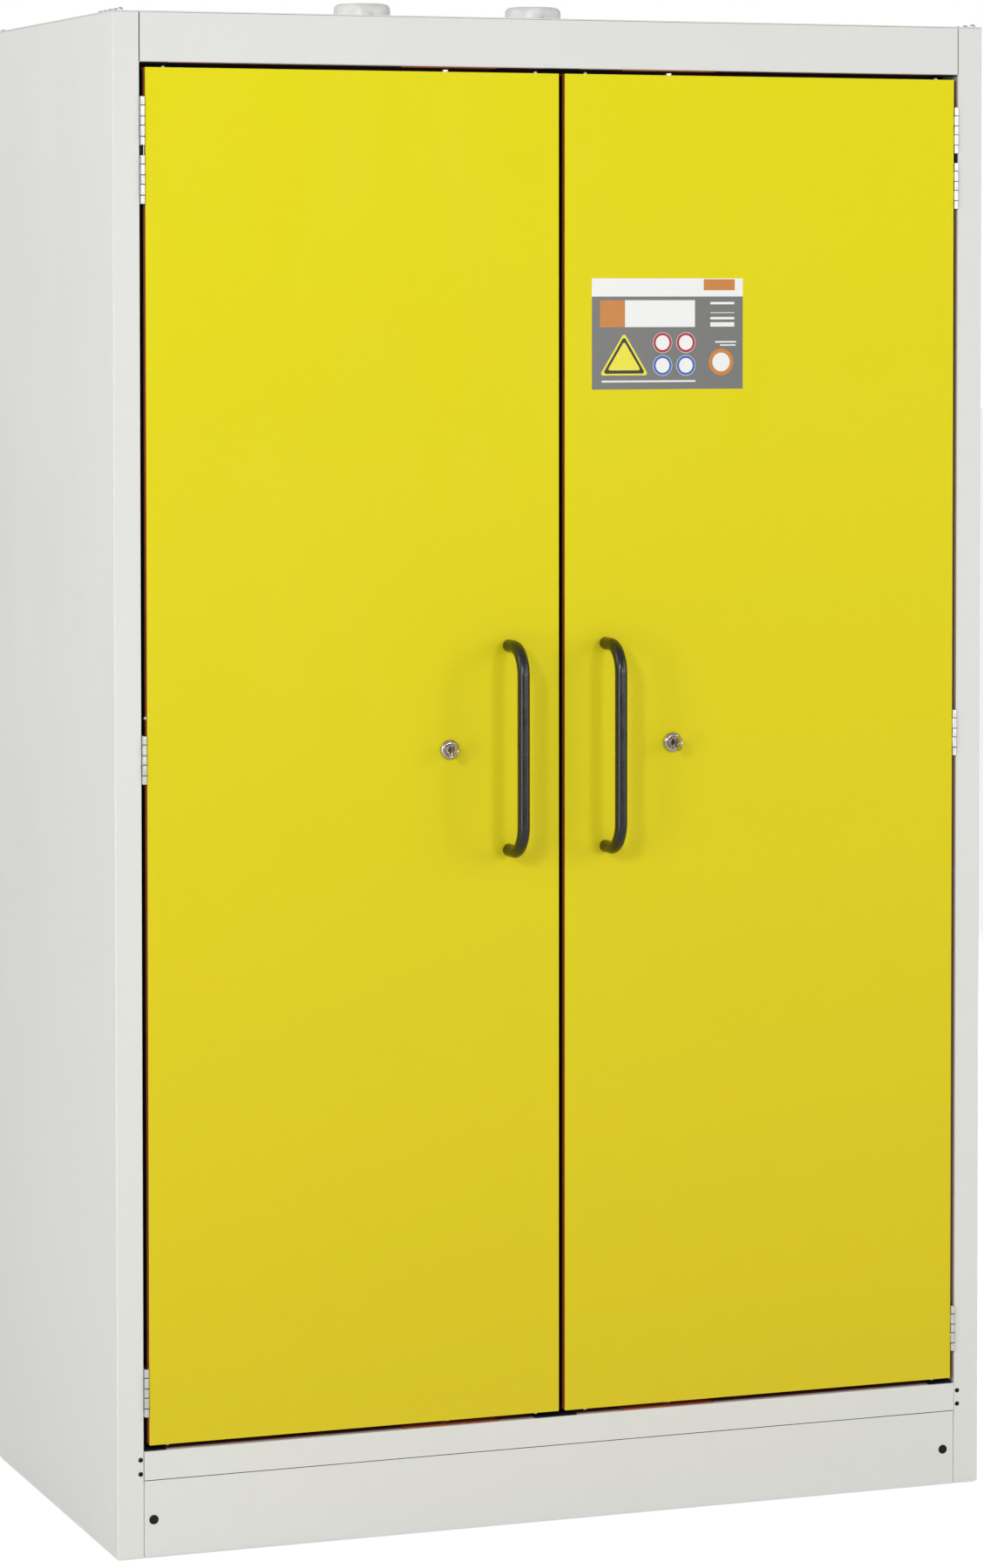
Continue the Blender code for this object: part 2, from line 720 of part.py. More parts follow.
def handle(side, parent):
    """Bent round bar: two legs standing on the door and the grip between them."""
    x = HANDLE_X[side]
    foot_depth = DOOR_FACE - GAP
    grip_depth = -HANDLE_REACH + HANDLE_R
    low = HANDLE_MID_Z - HANDLE_SPAN / 2
    high = HANDLE_MID_Z + HANDLE_SPAN / 2
    bend = HANDLE_BEND
    points = [place(x, foot_depth, high)]
    for start, z_centre in ((90, high - bend), (180, low + bend)):
        for i in range(9):
            angle = math.radians(start + 90 * i / 8)
            depth = grip_depth + bend + bend * math.cos(angle)
            points.append(place(x, depth, z_centre + bend * math.sin(angle)))
    points.append(place(x, foot_depth, low))
    curve = bpy.data.curves.new(side + "_handle", "CURVE")
    curve.dimensions = "3D"
    curve.bevel_depth = HANDLE_R
    curve.bevel_resolution = 2
    curve.use_fill_caps = True
    spline = curve.splines.new("POLY")
    spline.points.add(len(points) - 1)
    for point, where in zip(spline.points, points):
        point.co = (*where, 1.0)
    curve.materials.append(black_bar())
    obj = bpy.data.objects.new(side + "_handle", curve)
    bpy.context.scene.collection.objects.link(obj)
    obj.parent = parent
    obj.matrix_parent_inverse = Matrix.Translation(-parent.location)


# ---- hinges -------------------------------------------------------------------------------
def knuckle_spans(middle):
    """Low and high z of each knuckle of one hinge, bottom to top."""
    spans = []
    low = middle - HINGE_HEIGHT / 2
    for height in KNUCKLES:
        spans.append((low + GAP / 2, low + height - GAP / 2))
        low += height
    return spans


def hinge_leaf(name, sign, middles, first, leaf_xs, parent):
    """Half of a hinge: a leaf, and every second knuckle joined to it by a web."""
    low = min(middles) - HINGE_HEIGHT / 2
    high = max(middles) + HINGE_HEIGHT / 2
    xs = tuple(sign * x for x in leaf_xs)
    web_end = HINGE_DEPTH + BARREL_R + 2 * GAP
    leaf = box(name, xs, (web_end, LEAF_REAR), (low, high), zinc(), parent)
    centre = place(sign * HINGE_X, HINGE_DEPTH, 0)
    added = []
    for h, middle in enumerate(middles):
        for k, (bottom, top) in enumerate(knuckle_spans(middle)):
            if k % 2 == first:
                added.append(box_mesh(f"{name}_web_{h}{k}", xs, (HINGE_DEPTH, web_end + 0.001), (bottom, top)))
                added.append(rod_mesh(f"{name}_knuckle_{h}{k}", BARREL_R, bottom, top, centre, 12))
    combine(leaf, "UNION", added)
    return leaf


def hinge(side, sign, level, door):
    """Frame leaf with its pins, and door leaf bored to turn on them."""
    middles = HINGE_SETS[level]
    post_face = POST_INNER - GAP
    frame_name = f"{side}_{level}_hinge_frame_leaf"
    frame = hinge_leaf(frame_name, sign, middles, 0, (post_face - LEAF, post_face), None)
    door_face = DOOR_EDGE + GAP
    door_name = f"{side}_{level}_hinge_door_leaf"
    leaf = hinge_leaf(door_name, sign, middles, 1, (door_face, door_face + LEAF), door)
    centre = place(sign * HINGE_X, HINGE_DEPTH, 0)
    for h, middle in enumerate(middles):
        low = middle - HINGE_HEIGHT / 2
        high = middle + HINGE_HEIGHT / 2
        combine(frame, "UNION", [rod_mesh(f"{frame_name}_pin_{h}", PIN_R, low + 0.001, high - 0.001, centre, 12)])
        combine(leaf, "DIFFERENCE", [rod_mesh(f"{door_name}_bore_{h}", PIN_BORE_R, low, high, centre, 12)])


# ---- assembly -----------------------------------------------------------------------------
def housing():
    """Panels, channels, insulation and base."""
    for side, sign in SIDES.items():
        side_panel(side, sign)
        side_insulation(side, sign)
        vent_cap(side, sign)
        strike(side, sign, "upper", HEADER_BOTTOM, 1)
        strike(side, sign, "lower", SILL_TOP, -1)
        for end, depth in zip(("front", "rear"), UPRIGHT_DEPTHS):
            shelf_upright(side, sign, end, depth)
        for end, depth in zip(("front", "rear"), FOOT_DEPTHS):
            foot(f"{side}_{end}_foot", sign * FOOT_X, depth)
    rear_panel()
    roof_panel()
    header_window = (HEADER_BOTTOM - 0.01, HEADER_BOTTOM + 0.01)
    channel("header_fascia", (HEADER_BOTTOM, PANEL_TOP), HEADER_BOTTOM, 1, header_window)
    channel("sill_rail", (SILL_BOTTOM, SILL_TOP), SILL_TOP, -1, (SILL_TOP - 0.01, SILL_TOP + 0.01))
    plinth_cover()
    base_frame()
    inner_boards()
    door_seal()
    exhaust_duct()
    shelves()
    sump()


def door(side, sign):
    """One door with its handle, lock, rods and hinges, on its hinge axis."""
    axis = pivot(side + "_door_hinge", place(sign * HINGE_X, HINGE_DEPTH, (DOOR_TOP + DOOR_BOTTOM) / 2))
    door_skin(side, sign, axis)
    door_core(side, sign, axis)
    handle(side, axis)
    lock_case(side, sign, axis)
    turn = pivot(side + "_key_turn", place(sign * LOCK_X, 0, LOCK_Z))
    turn.parent = axis
    turn.matrix_parent_inverse = Matrix.Translation(-axis.location)
    lock_key(side, sign, turn)
    locking_rods(side, sign, axis)
    for level in HINGE_SETS:
        hinge(side, sign, level, axis)


def main():
    """Clear the scene and build the cabinet."""
    for obj in list(bpy.data.objects):
        bpy.data.objects.remove(obj, do_unlink=True)
    housing()
    for side, sign in SIDES.items():
        door(side, sign)


main()
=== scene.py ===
"""Looks of the flammable storage cabinet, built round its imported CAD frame.

Units are metres, +Z is up, the front faces -Y and +X is to the viewer's right.  Sheet and board
pieces are softened copies of the CAD solids, with folded edges rounded and cut edges broken.
Locks, keys, handles, vent caps, feet and seal are modelled anew, screws, slots and perforations
are placed by Geometry Nodes, and every finish is procedural.
"""

import logging
import math
from abc import ABC, abstractmethod
from collections.abc import Sequence
from dataclasses import dataclass, field
from enum import Enum

import bmesh
import bpy
from bmesh.types import BMesh, BMFace, BMVert
from bpy.types import Material, Mesh, Node, NodeOutputs, NodeSocket, NodeTree, Object
from mathutils import Matrix, Vector


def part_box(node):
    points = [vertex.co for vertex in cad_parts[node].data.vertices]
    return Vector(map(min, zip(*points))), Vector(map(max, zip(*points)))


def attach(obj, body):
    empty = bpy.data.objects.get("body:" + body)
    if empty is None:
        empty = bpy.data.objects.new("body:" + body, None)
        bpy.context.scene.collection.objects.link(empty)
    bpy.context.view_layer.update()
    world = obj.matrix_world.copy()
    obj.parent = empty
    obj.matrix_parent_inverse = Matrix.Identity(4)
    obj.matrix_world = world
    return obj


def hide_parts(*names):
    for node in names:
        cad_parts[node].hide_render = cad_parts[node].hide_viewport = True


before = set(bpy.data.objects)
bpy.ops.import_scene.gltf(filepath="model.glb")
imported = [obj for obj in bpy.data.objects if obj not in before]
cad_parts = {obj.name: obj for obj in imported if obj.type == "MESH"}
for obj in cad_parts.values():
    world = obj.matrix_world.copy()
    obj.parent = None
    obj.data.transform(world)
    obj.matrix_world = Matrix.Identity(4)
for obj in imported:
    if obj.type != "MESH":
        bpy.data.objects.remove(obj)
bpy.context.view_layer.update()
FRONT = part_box("header_fascia")[0].y
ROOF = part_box("roof_panel")[1].z
LOG = logging.getLogger("cabinet")

Size = tuple[float, float, float]
Colour = tuple[float, float, float]
Pair = tuple[float, float]
Outline = Sequence[Pair]
WHOLE: Pair = (0.0, 1.0)
COMMON_NOISE: Pair = (0.3, 0.7)  # where nearly all of a noise's values lie
SHARP = 0.0  # the rounding of a block that has none


class Side(Enum):
    """The two sides, with the sign of their x."""

    LEFT = -1
    RIGHT = 1

    @property
    def word(self) -> str:
        """The side's name as the CAD nodes spell it."""
        return self.name.lower()


class Facing(Enum):
    """The ways that turned shapes and screw heads point."""

    UP = (0, 0, 1)
    DOWN = (0, 0, -1)
    FRONT = (0, -1, 0)
    REAR = (0, 1, 0)
    LEFT = (-1, 0, 0)
    RIGHT = (1, 0, 0)

    @property
    def vector(self) -> Vector:
        """The unit vector that the shape points along."""
        return Vector(self.value)

    @property
    def turn(self) -> Matrix:
        """The rotation that brings +Z onto this way."""
        return Vector((0, 0, 1)).rotation_difference(self.vector).to_matrix().to_4x4()


Seat = tuple[Vector, Facing]


def at(x: float, depth: float, z: float) -> Vector:
    """A point from its x, its depth behind the housing's front plane, and its height."""
    return Vector((x, FRONT + depth, z))


# ---- node trees ---------------------------------------------------------------------------
class Graph:
    """A node tree that is put together one node at a time."""

    def __init__(self, tree: NodeTree) -> None:
        """Take a tree and empty it."""
        self.tree = tree
        tree.nodes.clear()

    def add(self, kind: str, inputs: dict | None = None, **settings: object) -> Node:
        """Add a node.

        Args:
            kind: Blender's name for the node's type.
            inputs: Socket name or number to a value, or to the output socket that feeds it.
            **settings: The node's own properties.

        Returns:
            The new node.
        """
        node = self.tree.nodes.new(kind)
        for name, value in settings.items():
            setattr(node, name, value)
        for key, value in (inputs or {}).items():
            socket = node.inputs[key]
            if isinstance(value, NodeSocket):
                self.tree.links.new(value, socket)
            else:
                socket.default_value = value
        return node


class Pattern:
    """Noise, blends and relief on a piece's own coordinates, for one material."""

    def __init__(self, graph: Graph) -> None:
        """Start from the object's coordinates."""
        self.graph = graph
        self.place = graph.add("ShaderNodeTexCoord").outputs["Object"]

    def noise(self, size: float, detail: float = 2.0, stretch: Size = (1, 1, 1)) -> NodeSocket:
        """Soft noise.

        Args:
            size: The length of one wave, in metres.
            detail: How many finer octaves are laid on it.
            stretch: How many times longer the waves are along x, y and z.

        Returns:
            The noise's value, about 0.5 on average.
        """
        scale = tuple(1 / (size * s) for s in stretch)
        where = self.graph.add("ShaderNodeMapping", {"Vector": self.place, "Scale": scale})
        made = self.graph.add(
            "ShaderNodeTexNoise", {"Vector": where.outputs[0], "Scale": 1.0, "Detail": detail}
        )
        return made.outputs["Fac"]

    def span(self, value: NodeSocket, source: Pair, target: Pair) -> NodeSocket:
        """Carry a value from one range to another, held at both ends."""
        inputs = {0: value, 1: source[0], 2: source[1], 3: target[0], 4: target[1]}
        return self.graph.add("ShaderNodeMapRange", inputs).outputs[0]

    def blend(self, factor: object, first: object, second: object) -> NodeSocket:
        """Mix two colours by a factor."""
        inputs = {0: factor, 6: _rgba(first), 7: _rgba(second)}
        return self.graph.add("ShaderNodeMix", inputs, data_type="RGBA").outputs[2]

    def maths(self, operation: str, first: object, second: object) -> NodeSocket:
        """One arithmetic step on two values."""
        return self.graph.add("ShaderNodeMath", {0: first, 1: second}, operation=operation).outputs[0]

    def attribute(self, name: str) -> NodeSocket:
        """A number stored on the mesh."""
        return self.graph.add("ShaderNodeAttribute", attribute_name=name).outputs["Fac"]

    def height(self) -> NodeSocket:
        """The height above the floor."""
        return self.graph.add("ShaderNodeSeparateXYZ", {0: self.place}).outputs["Z"]

    def relief(self, value: object, depth: float, under: object = None) -> NodeSocket:
        """A bump.

        Args:
            value: The height, from 0 to 1.
            depth: What a height of 1 stands for, in metres.
            under: The normal of a coarser bump that this one lies on.

        Returns:
            The bumped normal.
        """
        inputs = {"Height": value, "Distance": depth, "Strength": 1.0}
        if under is not None:
            inputs["Normal"] = under
        return self.graph.add("ShaderNodeBump", inputs).outputs[0]


def _rgba(colour: object) -> object:
    """A colour with its alpha, or a socket as it is."""
    return colour if isinstance(colour, NodeSocket) else (*colour, 1.0)


# ---- finishes -----------------------------------------------------------------------------
@dataclass(frozen=True)
class Finish(ABC):
    """What every finish has: a name, the record's slot for it, a colour and a roughness."""

    name: str
    slot: str | None
    colour: Colour
    roughness: float

    def material(self) -> Material:
        """The finish as a material, made once.

        Returns:
            The material.
        """
        found = bpy.data.materials.get(self.name)
        if found is not None:
            return found
        made = bpy.data.materials.new(self.name)
        made.use_nodes = True
        graph = Graph(made.node_tree)
        shader = graph.add("ShaderNodeBsdfPrincipled")
        graph.add("ShaderNodeOutputMaterial", {"Surface": shader.outputs[0]})
        self.lay(Pattern(graph), shader)
        made.diffuse_color = (*self.colour, 1.0)
        return made

    def feed(self, shader: Node, colour: object, roughness: object, normal: object) -> None:
        """Connect the three patterned inputs of a shader.

        Args:
            shader: The Principled node.
            colour: The socket for its base colour.
            roughness: The socket for its roughness.
            normal: The socket for its normal.
        """
        links = shader.id_data.links
        links.new(colour, shader.inputs["Base Color"])
        links.new(roughness, shader.inputs["Roughness"])
        links.new(normal, shader.inputs["Normal"])

    def tint(self, factor: float) -> Colour:
        """The finish's colour made lighter or darker."""
        return tuple(min(1.0, c * factor) for c in self.colour)

    @abstractmethod
    def lay(self, pattern: Pattern, shader: Node) -> None:
        """Draw the finish's pattern into its shader.

        Args:
            pattern: Makes the nodes of the pattern.
            shader: The Principled node that the pattern feeds.
        """


@dataclass(frozen=True)
class PowderCoat(Finish):
    """Sprayed and baked powder: orange peel, faint clouds, thinner paint on folded edges."""

    peel: float = 0.0024
    peel_depth: float = 0.00007
    cloud: float = 0.35
    cloud_share: float = 0.04
    speck: float = 0.0011
    speck_share: float = 0.35
    edge: Colour = (0.9, 0.9, 0.88)
    edge_share: float = 0.25
    thin_patch: float = 0.03
    dust: Colour = (0.35, 0.33, 0.30)
    dust_share: float = 0.05
    dust_heights: Pair = (0.02, 0.30)
    rub: float = 0.06
    gloss: float = 0.24
    # painted shade: the colour at the floor as a share of the colour at the roof
    foot_tint: Colour = (1.0, 1.0, 1.0)

    def lay(self, pattern: Pattern, shader: Node) -> None:
        """Painted shade towards the floor, clouds and specks for colour, thin edges, rubbed patches,
        and two scales of peel.

        Args:
            pattern: Makes the nodes of the pattern.
            shader: The Principled node that the pattern feeds.
        """
        # Painted shade: the colour blends from a darker foot colour at the floor to the plain colour at
        # the roof.
        rise = pattern.span(pattern.height(), (0.0, ROOF), WHOLE)
        foot = tuple(c * t for c, t in zip(self.colour, self.foot_tint))
        colour = pattern.blend(rise, foot, self.colour)
        clouds = pattern.span(pattern.noise(self.cloud, 3.0), COMMON_NOISE, (0.0, self.cloud_share))
        colour = pattern.blend(clouds, colour, self.tint(0.75))
        specks = pattern.span(pattern.noise(self.speck, 1.0), (0.62, 0.75), (0.0, self.speck_share))
        colour = pattern.blend(specks, colour, self.tint(0.93))
        patchy = pattern.span(pattern.noise(self.thin_patch, 3.0), (0.45, 0.65), (0.15, 1.0))
        thin = pattern.maths("MULTIPLY", pattern.attribute("edge"), patchy)
        worn = pattern.maths("MULTIPLY", thin, self.edge_share)
        colour = pattern.blend(worn, colour, self.edge)
        low = pattern.span(pattern.height(), self.dust_heights, (self.dust_share, 0.0))
        dust = pattern.maths("MULTIPLY", low, pattern.noise(0.05, 4.0))
        colour = pattern.blend(dust, colour, self.dust)
        limits = (self.roughness - self.rub, self.roughness + self.rub)
        rubbed = pattern.span(pattern.noise(0.12, 4.0, (1, 1, 2.5)), (0.35, 0.65), limits)
        waves = pattern.relief(pattern.noise(self.peel * 5, 1.0), self.peel_depth * 1.5)
        peel = pattern.relief(pattern.noise(self.peel, 1.5), self.peel_depth, waves)
        self.feed(shader, colour, rubbed, peel)
        shader.inputs["Specular IOR Level"].default_value = self.gloss


@dataclass(frozen=True)
class FireBoard(Finish):
    """Pressed mineral board: short fibres, pores and a slightly chalky surface."""

    pore: Colour = (0.05, 0.01, 0.005)
    contrast: float = 0.19
    fibre: float = 0.004
    pore_size: float = 0.0014
    pore_share: float = 0.6
    grain_depth: float = 0.00025

    def lay(self, pattern: Pattern, shader: Node) -> None:
        """Fibres along the board's height, fine pores, and both again as relief.

        Args:
            pattern: Makes the nodes of the pattern.
            shader: The Principled node that the pattern feeds.
        """
        fibres = pattern.noise(self.fibre, 5.0, (1, 1, 4))
        shades = (self.tint(1 - self.contrast), self.tint(1 + self.contrast))
        colour = pattern.blend(pattern.span(fibres, COMMON_NOISE, WHOLE), *shades)
        fine = pattern.noise(self.pore_size, 2.0)
        pores = pattern.span(fine, (0.60, 0.72), (0.0, self.pore_share))
        colour = pattern.blend(pores, colour, self.pore)
        rough = pattern.span(fibres, COMMON_NOISE, (self.roughness - 0.08, self.roughness + 0.1))
        base = pattern.relief(fibres, self.grain_depth)
        pits = pattern.span(pores, (0, self.pore_share), (1, 0))
        normal = pattern.relief(pits, self.grain_depth, base)
        self.feed(shader, colour, rough, normal)


@dataclass(frozen=True)
class Plating(Finish):
    """Plated or bare metal: brushed one way, with cloudy tarnish in patches."""

    stretch: Size = (1, 1, 12)
    scratch: float = 0.0009
    scratch_depth: float = 0.00001
    spread: float = 0.10
    tarnish: float = 0.012
    tarnish_share: float = 0.45
    spangle: float = 0.0
    spangle_share: float = 0.35

    def lay(self, pattern: Pattern, shader: Node) -> None:
        """Brush lines and tarnish for colour and roughness; spangles if it is hot dipped.

        Args:
            pattern: Makes the nodes of the pattern.
            shader: The Principled node that the pattern feeds.
        """
        lines = pattern.noise(self.scratch, 3.0, self.stretch)
        dull = pattern.noise(self.tarnish, 4.0)
        tarnish = pattern.span(dull, (0.45, 0.7), (0.0, self.tarnish_share))
        colour = pattern.blend(tarnish, self.colour, self.tint(0.72))
        if self.spangle > 0:
            scale = 1 / self.spangle
            cells = pattern.graph.add("ShaderNodeTexVoronoi", {"Vector": pattern.place, "Scale": scale})
            parts = pattern.graph.add("ShaderNodeSeparateColor", {0: cells.outputs["Color"]})
            shade = pattern.span(parts.outputs[0], WHOLE, (0.0, self.spangle_share))
            colour = pattern.blend(shade, colour, self.tint(0.6))
        limits = (self.roughness - self.spread, self.roughness + self.spread)
        rough = pattern.span(lines, COMMON_NOISE, limits)
        normal = pattern.relief(lines, self.scratch_depth)
        self.feed(shader, colour, rough, normal)
        shader.inputs["Metallic"].default_value = 1.0


@dataclass(frozen=True)
class Moulding(Finish):
    """Moulded rubber or plastic: fine spark-eroded texture and handling marks."""

    grain: float = 0.0006
    grain_depth: float = 0.00004
    handled: float = 0.06
    gloss: float = 0.5

    def lay(self, pattern: Pattern, shader: Node) -> None:
        """A fine grain, with broad marks where it has been handled.

        Args:
            pattern: Makes the nodes of the pattern.
            shader: The Principled node that the pattern feeds.
        """
        marks = pattern.span(pattern.noise(0.02, 4.0), (0.4, 0.65), WHOLE)
        colour = pattern.blend(marks, self.tint(0.92), self.tint(1.08))
        limits = (self.roughness + self.handled, self.roughness - self.handled)
        rough = pattern.span(marks, WHOLE, limits)
        grain = pattern.noise(self.grain, 2.0)
        normal = pattern.relief(grain, self.grain_depth)
        self.feed(shader, colour, rough, normal)
        shader.inputs["Specular IOR Level"].default_value = self.gloss


@dataclass(frozen=True)
class Film(Finish):
    """Printed vinyl: even ink with a faint screen and a little curl in its gloss."""

    screen: float = 0.0012
    curl: float = 0.008
    curl_depth: float = 0.00003
    spread: float = 0.05

    def lay(self, pattern: Pattern, shader: Node) -> None:
        """Ink that varies very slightly, under a thin clear film.

        Args:
            pattern: Makes the nodes of the pattern.
            shader: The Principled node that the pattern feeds.
        """
        ink = pattern.span(pattern.noise(self.screen, 2.0), (0.35, 0.65), WHOLE)
        colour = pattern.blend(ink, self.tint(0.97), self.tint(1.02))
        limits = (self.roughness - self.spread, self.roughness + self.spread)
        rough = pattern.span(pattern.noise(0.01, 3.0), COMMON_NOISE, limits)
        normal = pattern.relief(pattern.noise(self.curl, 2.0), self.curl_depth)
        self.feed(shader, colour, rough, normal)


GREY_PAINT = PowderCoat("light grey powder coat", "light_grey_paint", (0.800, 0.806, 0.775), 0.46)
# Painted shade: the yellow grows darker and duller towards the floor.
YELLOW_PAINT = PowderCoat(
    "yellow powder coat", "yellow_paint", (0.850, 0.765, 0.004), 0.46, edge=(0.86, 0.80, 0.12),
    gloss=0.13, foot_tint=(0.87, 0.77, 5.0),
)
BROWN_BOARD = FireBoard("red brown fire board", "red_brown_board", (0.400, 0.090, 0.022), 0.72)
# Painted shade: the swelling strip's colour is darkened far below the board's to stand for the shade in
# the header and sill gaps.
SWELLING_STRIP_AND_SHADE = FireBoard(
    "swelling strip", "red_brown_board", (0.085, 0.014, 0.010), 0.75, contrast=0.1,
)
WHITE_BOARD = FireBoard(
    "white faced fire board", "white_board", (0.78, 0.78, 0.75), 0.55,
    pore=(0.68, 0.68, 0.65), contrast=0.03, fibre=0.003, grain_depth=0.00003,
)
BLACK_COAT = Moulding("satin black bar coating", "black_coat", (0.0030, 0.0027, 0.0033), 0.29,
                      grain=0.0012, grain_depth=0.0000015, gloss=0.75)
FRAME_COAT = PowderCoat("black base frame coat", "black_coat", (0.020, 0.020, 0.021), 0.5,
                        edge=(0.10, 0.10, 0.10))
ZINC = Plating("bright zinc plating", "bright_zinc", (0.80, 0.81, 0.83), 0.36, spread=0.06)
GALVANISED = Plating("galvanised sheet", "bright_zinc", (0.66, 0.68, 0.70), 0.36,
                     stretch=(1, 1, 1), spangle=0.012)
NICKEL = Plating("nickel plating", "nickel", (0.56, 0.51, 0.45), 0.20, stretch=(1, 1, 1), spread=0.06)
# Black rubber, and also painted shade on the screw crosses, hinge knuckle rings, joint strips and gap
# bars.
RUBBER_AND_SHADE = Moulding("black rubber", "black_rubber", (0.006, 0.006, 0.0065), 0.72, gloss=0.3)
# Painted shade: a near-black lining for the vent cap's hole, where there is only shade.
VENT_HOLE_SHADE = Moulding("dark inside of the vent", "white_plastic", (0.012, 0.012, 0.012), 0.8)
WHITE_PLASTIC = Moulding("white moulded plastic", "white_plastic", (0.86, 0.87, 0.855), 0.36)
INK_ROUGHNESS = 0.34
INK_COLOURS = {
    "white": (0.92, 0.92, 0.91), "grey": (0.175, 0.175, 0.170), "orange": (0.62, 0.22, 0.025),
    "yellow": (0.90, 0.80, 0.03), "black": (0.010, 0.010, 0.010), "red": (0.45, 0.004, 0.022),
    "blue": (0.035, 0.130, 0.480),
}
INKS = {ink: Film(f"sticker {ink}", None, c, INK_ROUGHNESS) for ink, c in INK_COLOURS.items()}


# ---- meshes -------------------------------------------------------------------------------
def finished_mesh(bm: BMesh, name: str, smooth: float | None = 35.0) -> Mesh:
    """Turn a bmesh into a mesh.

    Args:
        bm: The shape; it is freed.
        name: The mesh's name.
        smooth: Edges flatter than this many degrees are shaded smooth; None leaves all flat.

    Returns:
        The mesh.
    """
    mesh = bpy.data.meshes.new(name)
    bm.to_mesh(mesh)
    bm.free()
    if smooth is not None:
        mesh.shade_smooth()
        mesh.set_sharp_from_angle(angle=math.radians(smooth))
    return mesh


def linked(name: str, mesh: Mesh) -> Object:
    """Put a mesh in the scene.

    Args:
        name: The object's name.
        mesh: Its mesh.

    Returns:
        The object, at the origin.
    """
    obj = bpy.data.objects.new(name, mesh)
    bpy.context.scene.collection.objects.link(obj)
    return obj


def settled(obj: Object) -> Mesh:
    """Evaluate an object's modifiers and remove the object.

    Args:
        obj: The object with its modifiers.

    Returns:
        The plain mesh, under the object's name.
    """
    bpy.context.view_layer.update()
    graph = bpy.context.evaluated_depsgraph_get()
    mesh = bpy.data.meshes.new_from_object(obj.evaluated_get(graph), depsgraph=graph)
    name = obj.name
    bpy.data.objects.remove(obj)
    mesh.name = name
    return mesh


def joined(name: str, meshes: Sequence[Mesh]) -> Mesh:
    """Put several meshes into one, keeping their shading and materials.

    Args:
        name: The result's name.
        meshes: The meshes, in place.

    Returns:
        The joined mesh.
    """
    objects = [linked(f"{name}_{i}", mesh) for i, mesh in enumerate(meshes)]
    with bpy.context.temp_override(
        active_object=objects[0], selected_editable_objects=objects, selected_objects=objects
    ):
        bpy.ops.object.join()
    mesh = objects[0].data
    bpy.data.objects.remove(objects[0])
    mesh.name = name
    return mesh


def turned(name: str, profile: Outline, centre: Vector, facing: Facing = Facing.UP,
           steps: int = 40, ring: bool = False) -> Mesh:
    """Turn a profile about an axis.

    Args:
        name: The mesh's name.
        profile: (radius, height) points from one end of the axis to the other, both on the axis,
            or for a ring the points of a closed section that stays clear of the axis.
        centre: Where height 0 is.
        facing: The way that height grows.
        steps: How many faces go round.
        ring: Whether the profile closes on itself.

    Returns:
        The closed mesh.
    """
    bm = bmesh.new()
    turn = 2 * math.pi / steps
    circles = []
    for radius, height in profile:
        spots = [i * turn for i in range(steps if radius > 0 else 1)]
        around = [(radius * math.cos(a), radius * math.sin(a), height) for a in spots]
        circles.append([bm.verts.new(spot) for spot in around])
    following = circles[1:] + circles[:1] if ring else circles[1:]
    for low, high in zip(circles, following):
        for i in range(steps):
            j = (i + 1) % steps
            corners = [low[i % len(low)], low[j % len(low)], high[j % len(high)], high[i % len(high)]]
            bm.faces.new(list(dict.fromkeys(corners)))
    bmesh.ops.recalc_face_normals(bm, faces=bm.faces)
    bmesh.ops.transform(bm, matrix=Matrix.Translation(centre) @ facing.turn, verts=bm.verts)
    return finished_mesh(bm, name)


def drum(name: str, radius: float, bottom: float, top: float, centre: Vector,
         facing: Facing = Facing.UP, steps: int = 40) -> Mesh:
    """A plain round drum from one height to another; for the other arguments, see turned."""
    return turned(name, [(0, bottom), (radius, bottom), (radius, top), (0, top)], centre, facing, steps)


def arc(centre: Pair, radius: float, start: float, end: float, steps: int) -> list[Pair]:
    """Points on an arc.

    Args:
        centre: The arc's centre.
        radius: Its radius.
        start: The first point's angle, in degrees.
        end: The last point's angle, in degrees.
        steps: How many pieces the arc is cut into.

    Returns:
        One point more than there are pieces.
    """
    points = []
    for i in range(steps + 1):
        angle = math.radians(start + (end - start) * i / steps)
        points.append((centre[0] + radius * math.cos(angle), centre[1] + radius * math.sin(angle)))
    return points


def block(name: str, low: Vector, high: Vector, radius: float, segments: int = 2) -> Mesh:
    """A box with all its edges rounded.

    Args:
        name: The mesh's name.
        low: The box's lowest corner.
        high: Its highest corner.
        radius: The rounding of its edges, or 0 for a sharp box.
        segments: How many faces a rounding has.

    Returns:
        The closed mesh.
    """
    bm = bmesh.new()
    bmesh.ops.create_cube(bm, size=1.0)
    bmesh.ops.scale(bm, vec=high - low, verts=bm.verts)
    bmesh.ops.translate(bm, vec=(high + low) / 2, verts=bm.verts)
    if radius > 0:
        bmesh.ops.bevel(
            bm, geom=list(bm.edges), offset=radius, segments=segments, profile=0.5, affect="EDGES",
        )
    return finished_mesh(bm, name, 60.0)


def plate(name: str, outline: Outline, thickness: float, place: Matrix) -> Mesh:
    """A flat plate.

    Args:
        name: The mesh's name.
        outline: (u, v) points, anticlockwise.
        thickness: How far the plate stands up from its own plane.
        place: Carries (u, v, height) to the plate's place.

    Returns:
        The closed mesh.
    """
    bm = bmesh.new()
    ring = [bm.verts.new((u, v, 0)) for u, v in outline]
    face = bm.faces.new(ring)
    moved = bmesh.ops.extrude_face_region(bm, geom=[face])["geom"]
    top = [v for v in moved if isinstance(v, BMVert)]
    bmesh.ops.translate(bm, vec=(0, 0, thickness), verts=top)
    bmesh.ops.recalc_face_normals(bm, faces=bm.faces)
    bmesh.ops.transform(bm, matrix=place, verts=bm.verts)
    return finished_mesh(bm, name)


def face_width(face: BMFace) -> float:
    """About how wide a long thin face is."""
    return 2 * face.calc_area() / sum(e.calc_length() for e in face.edges)


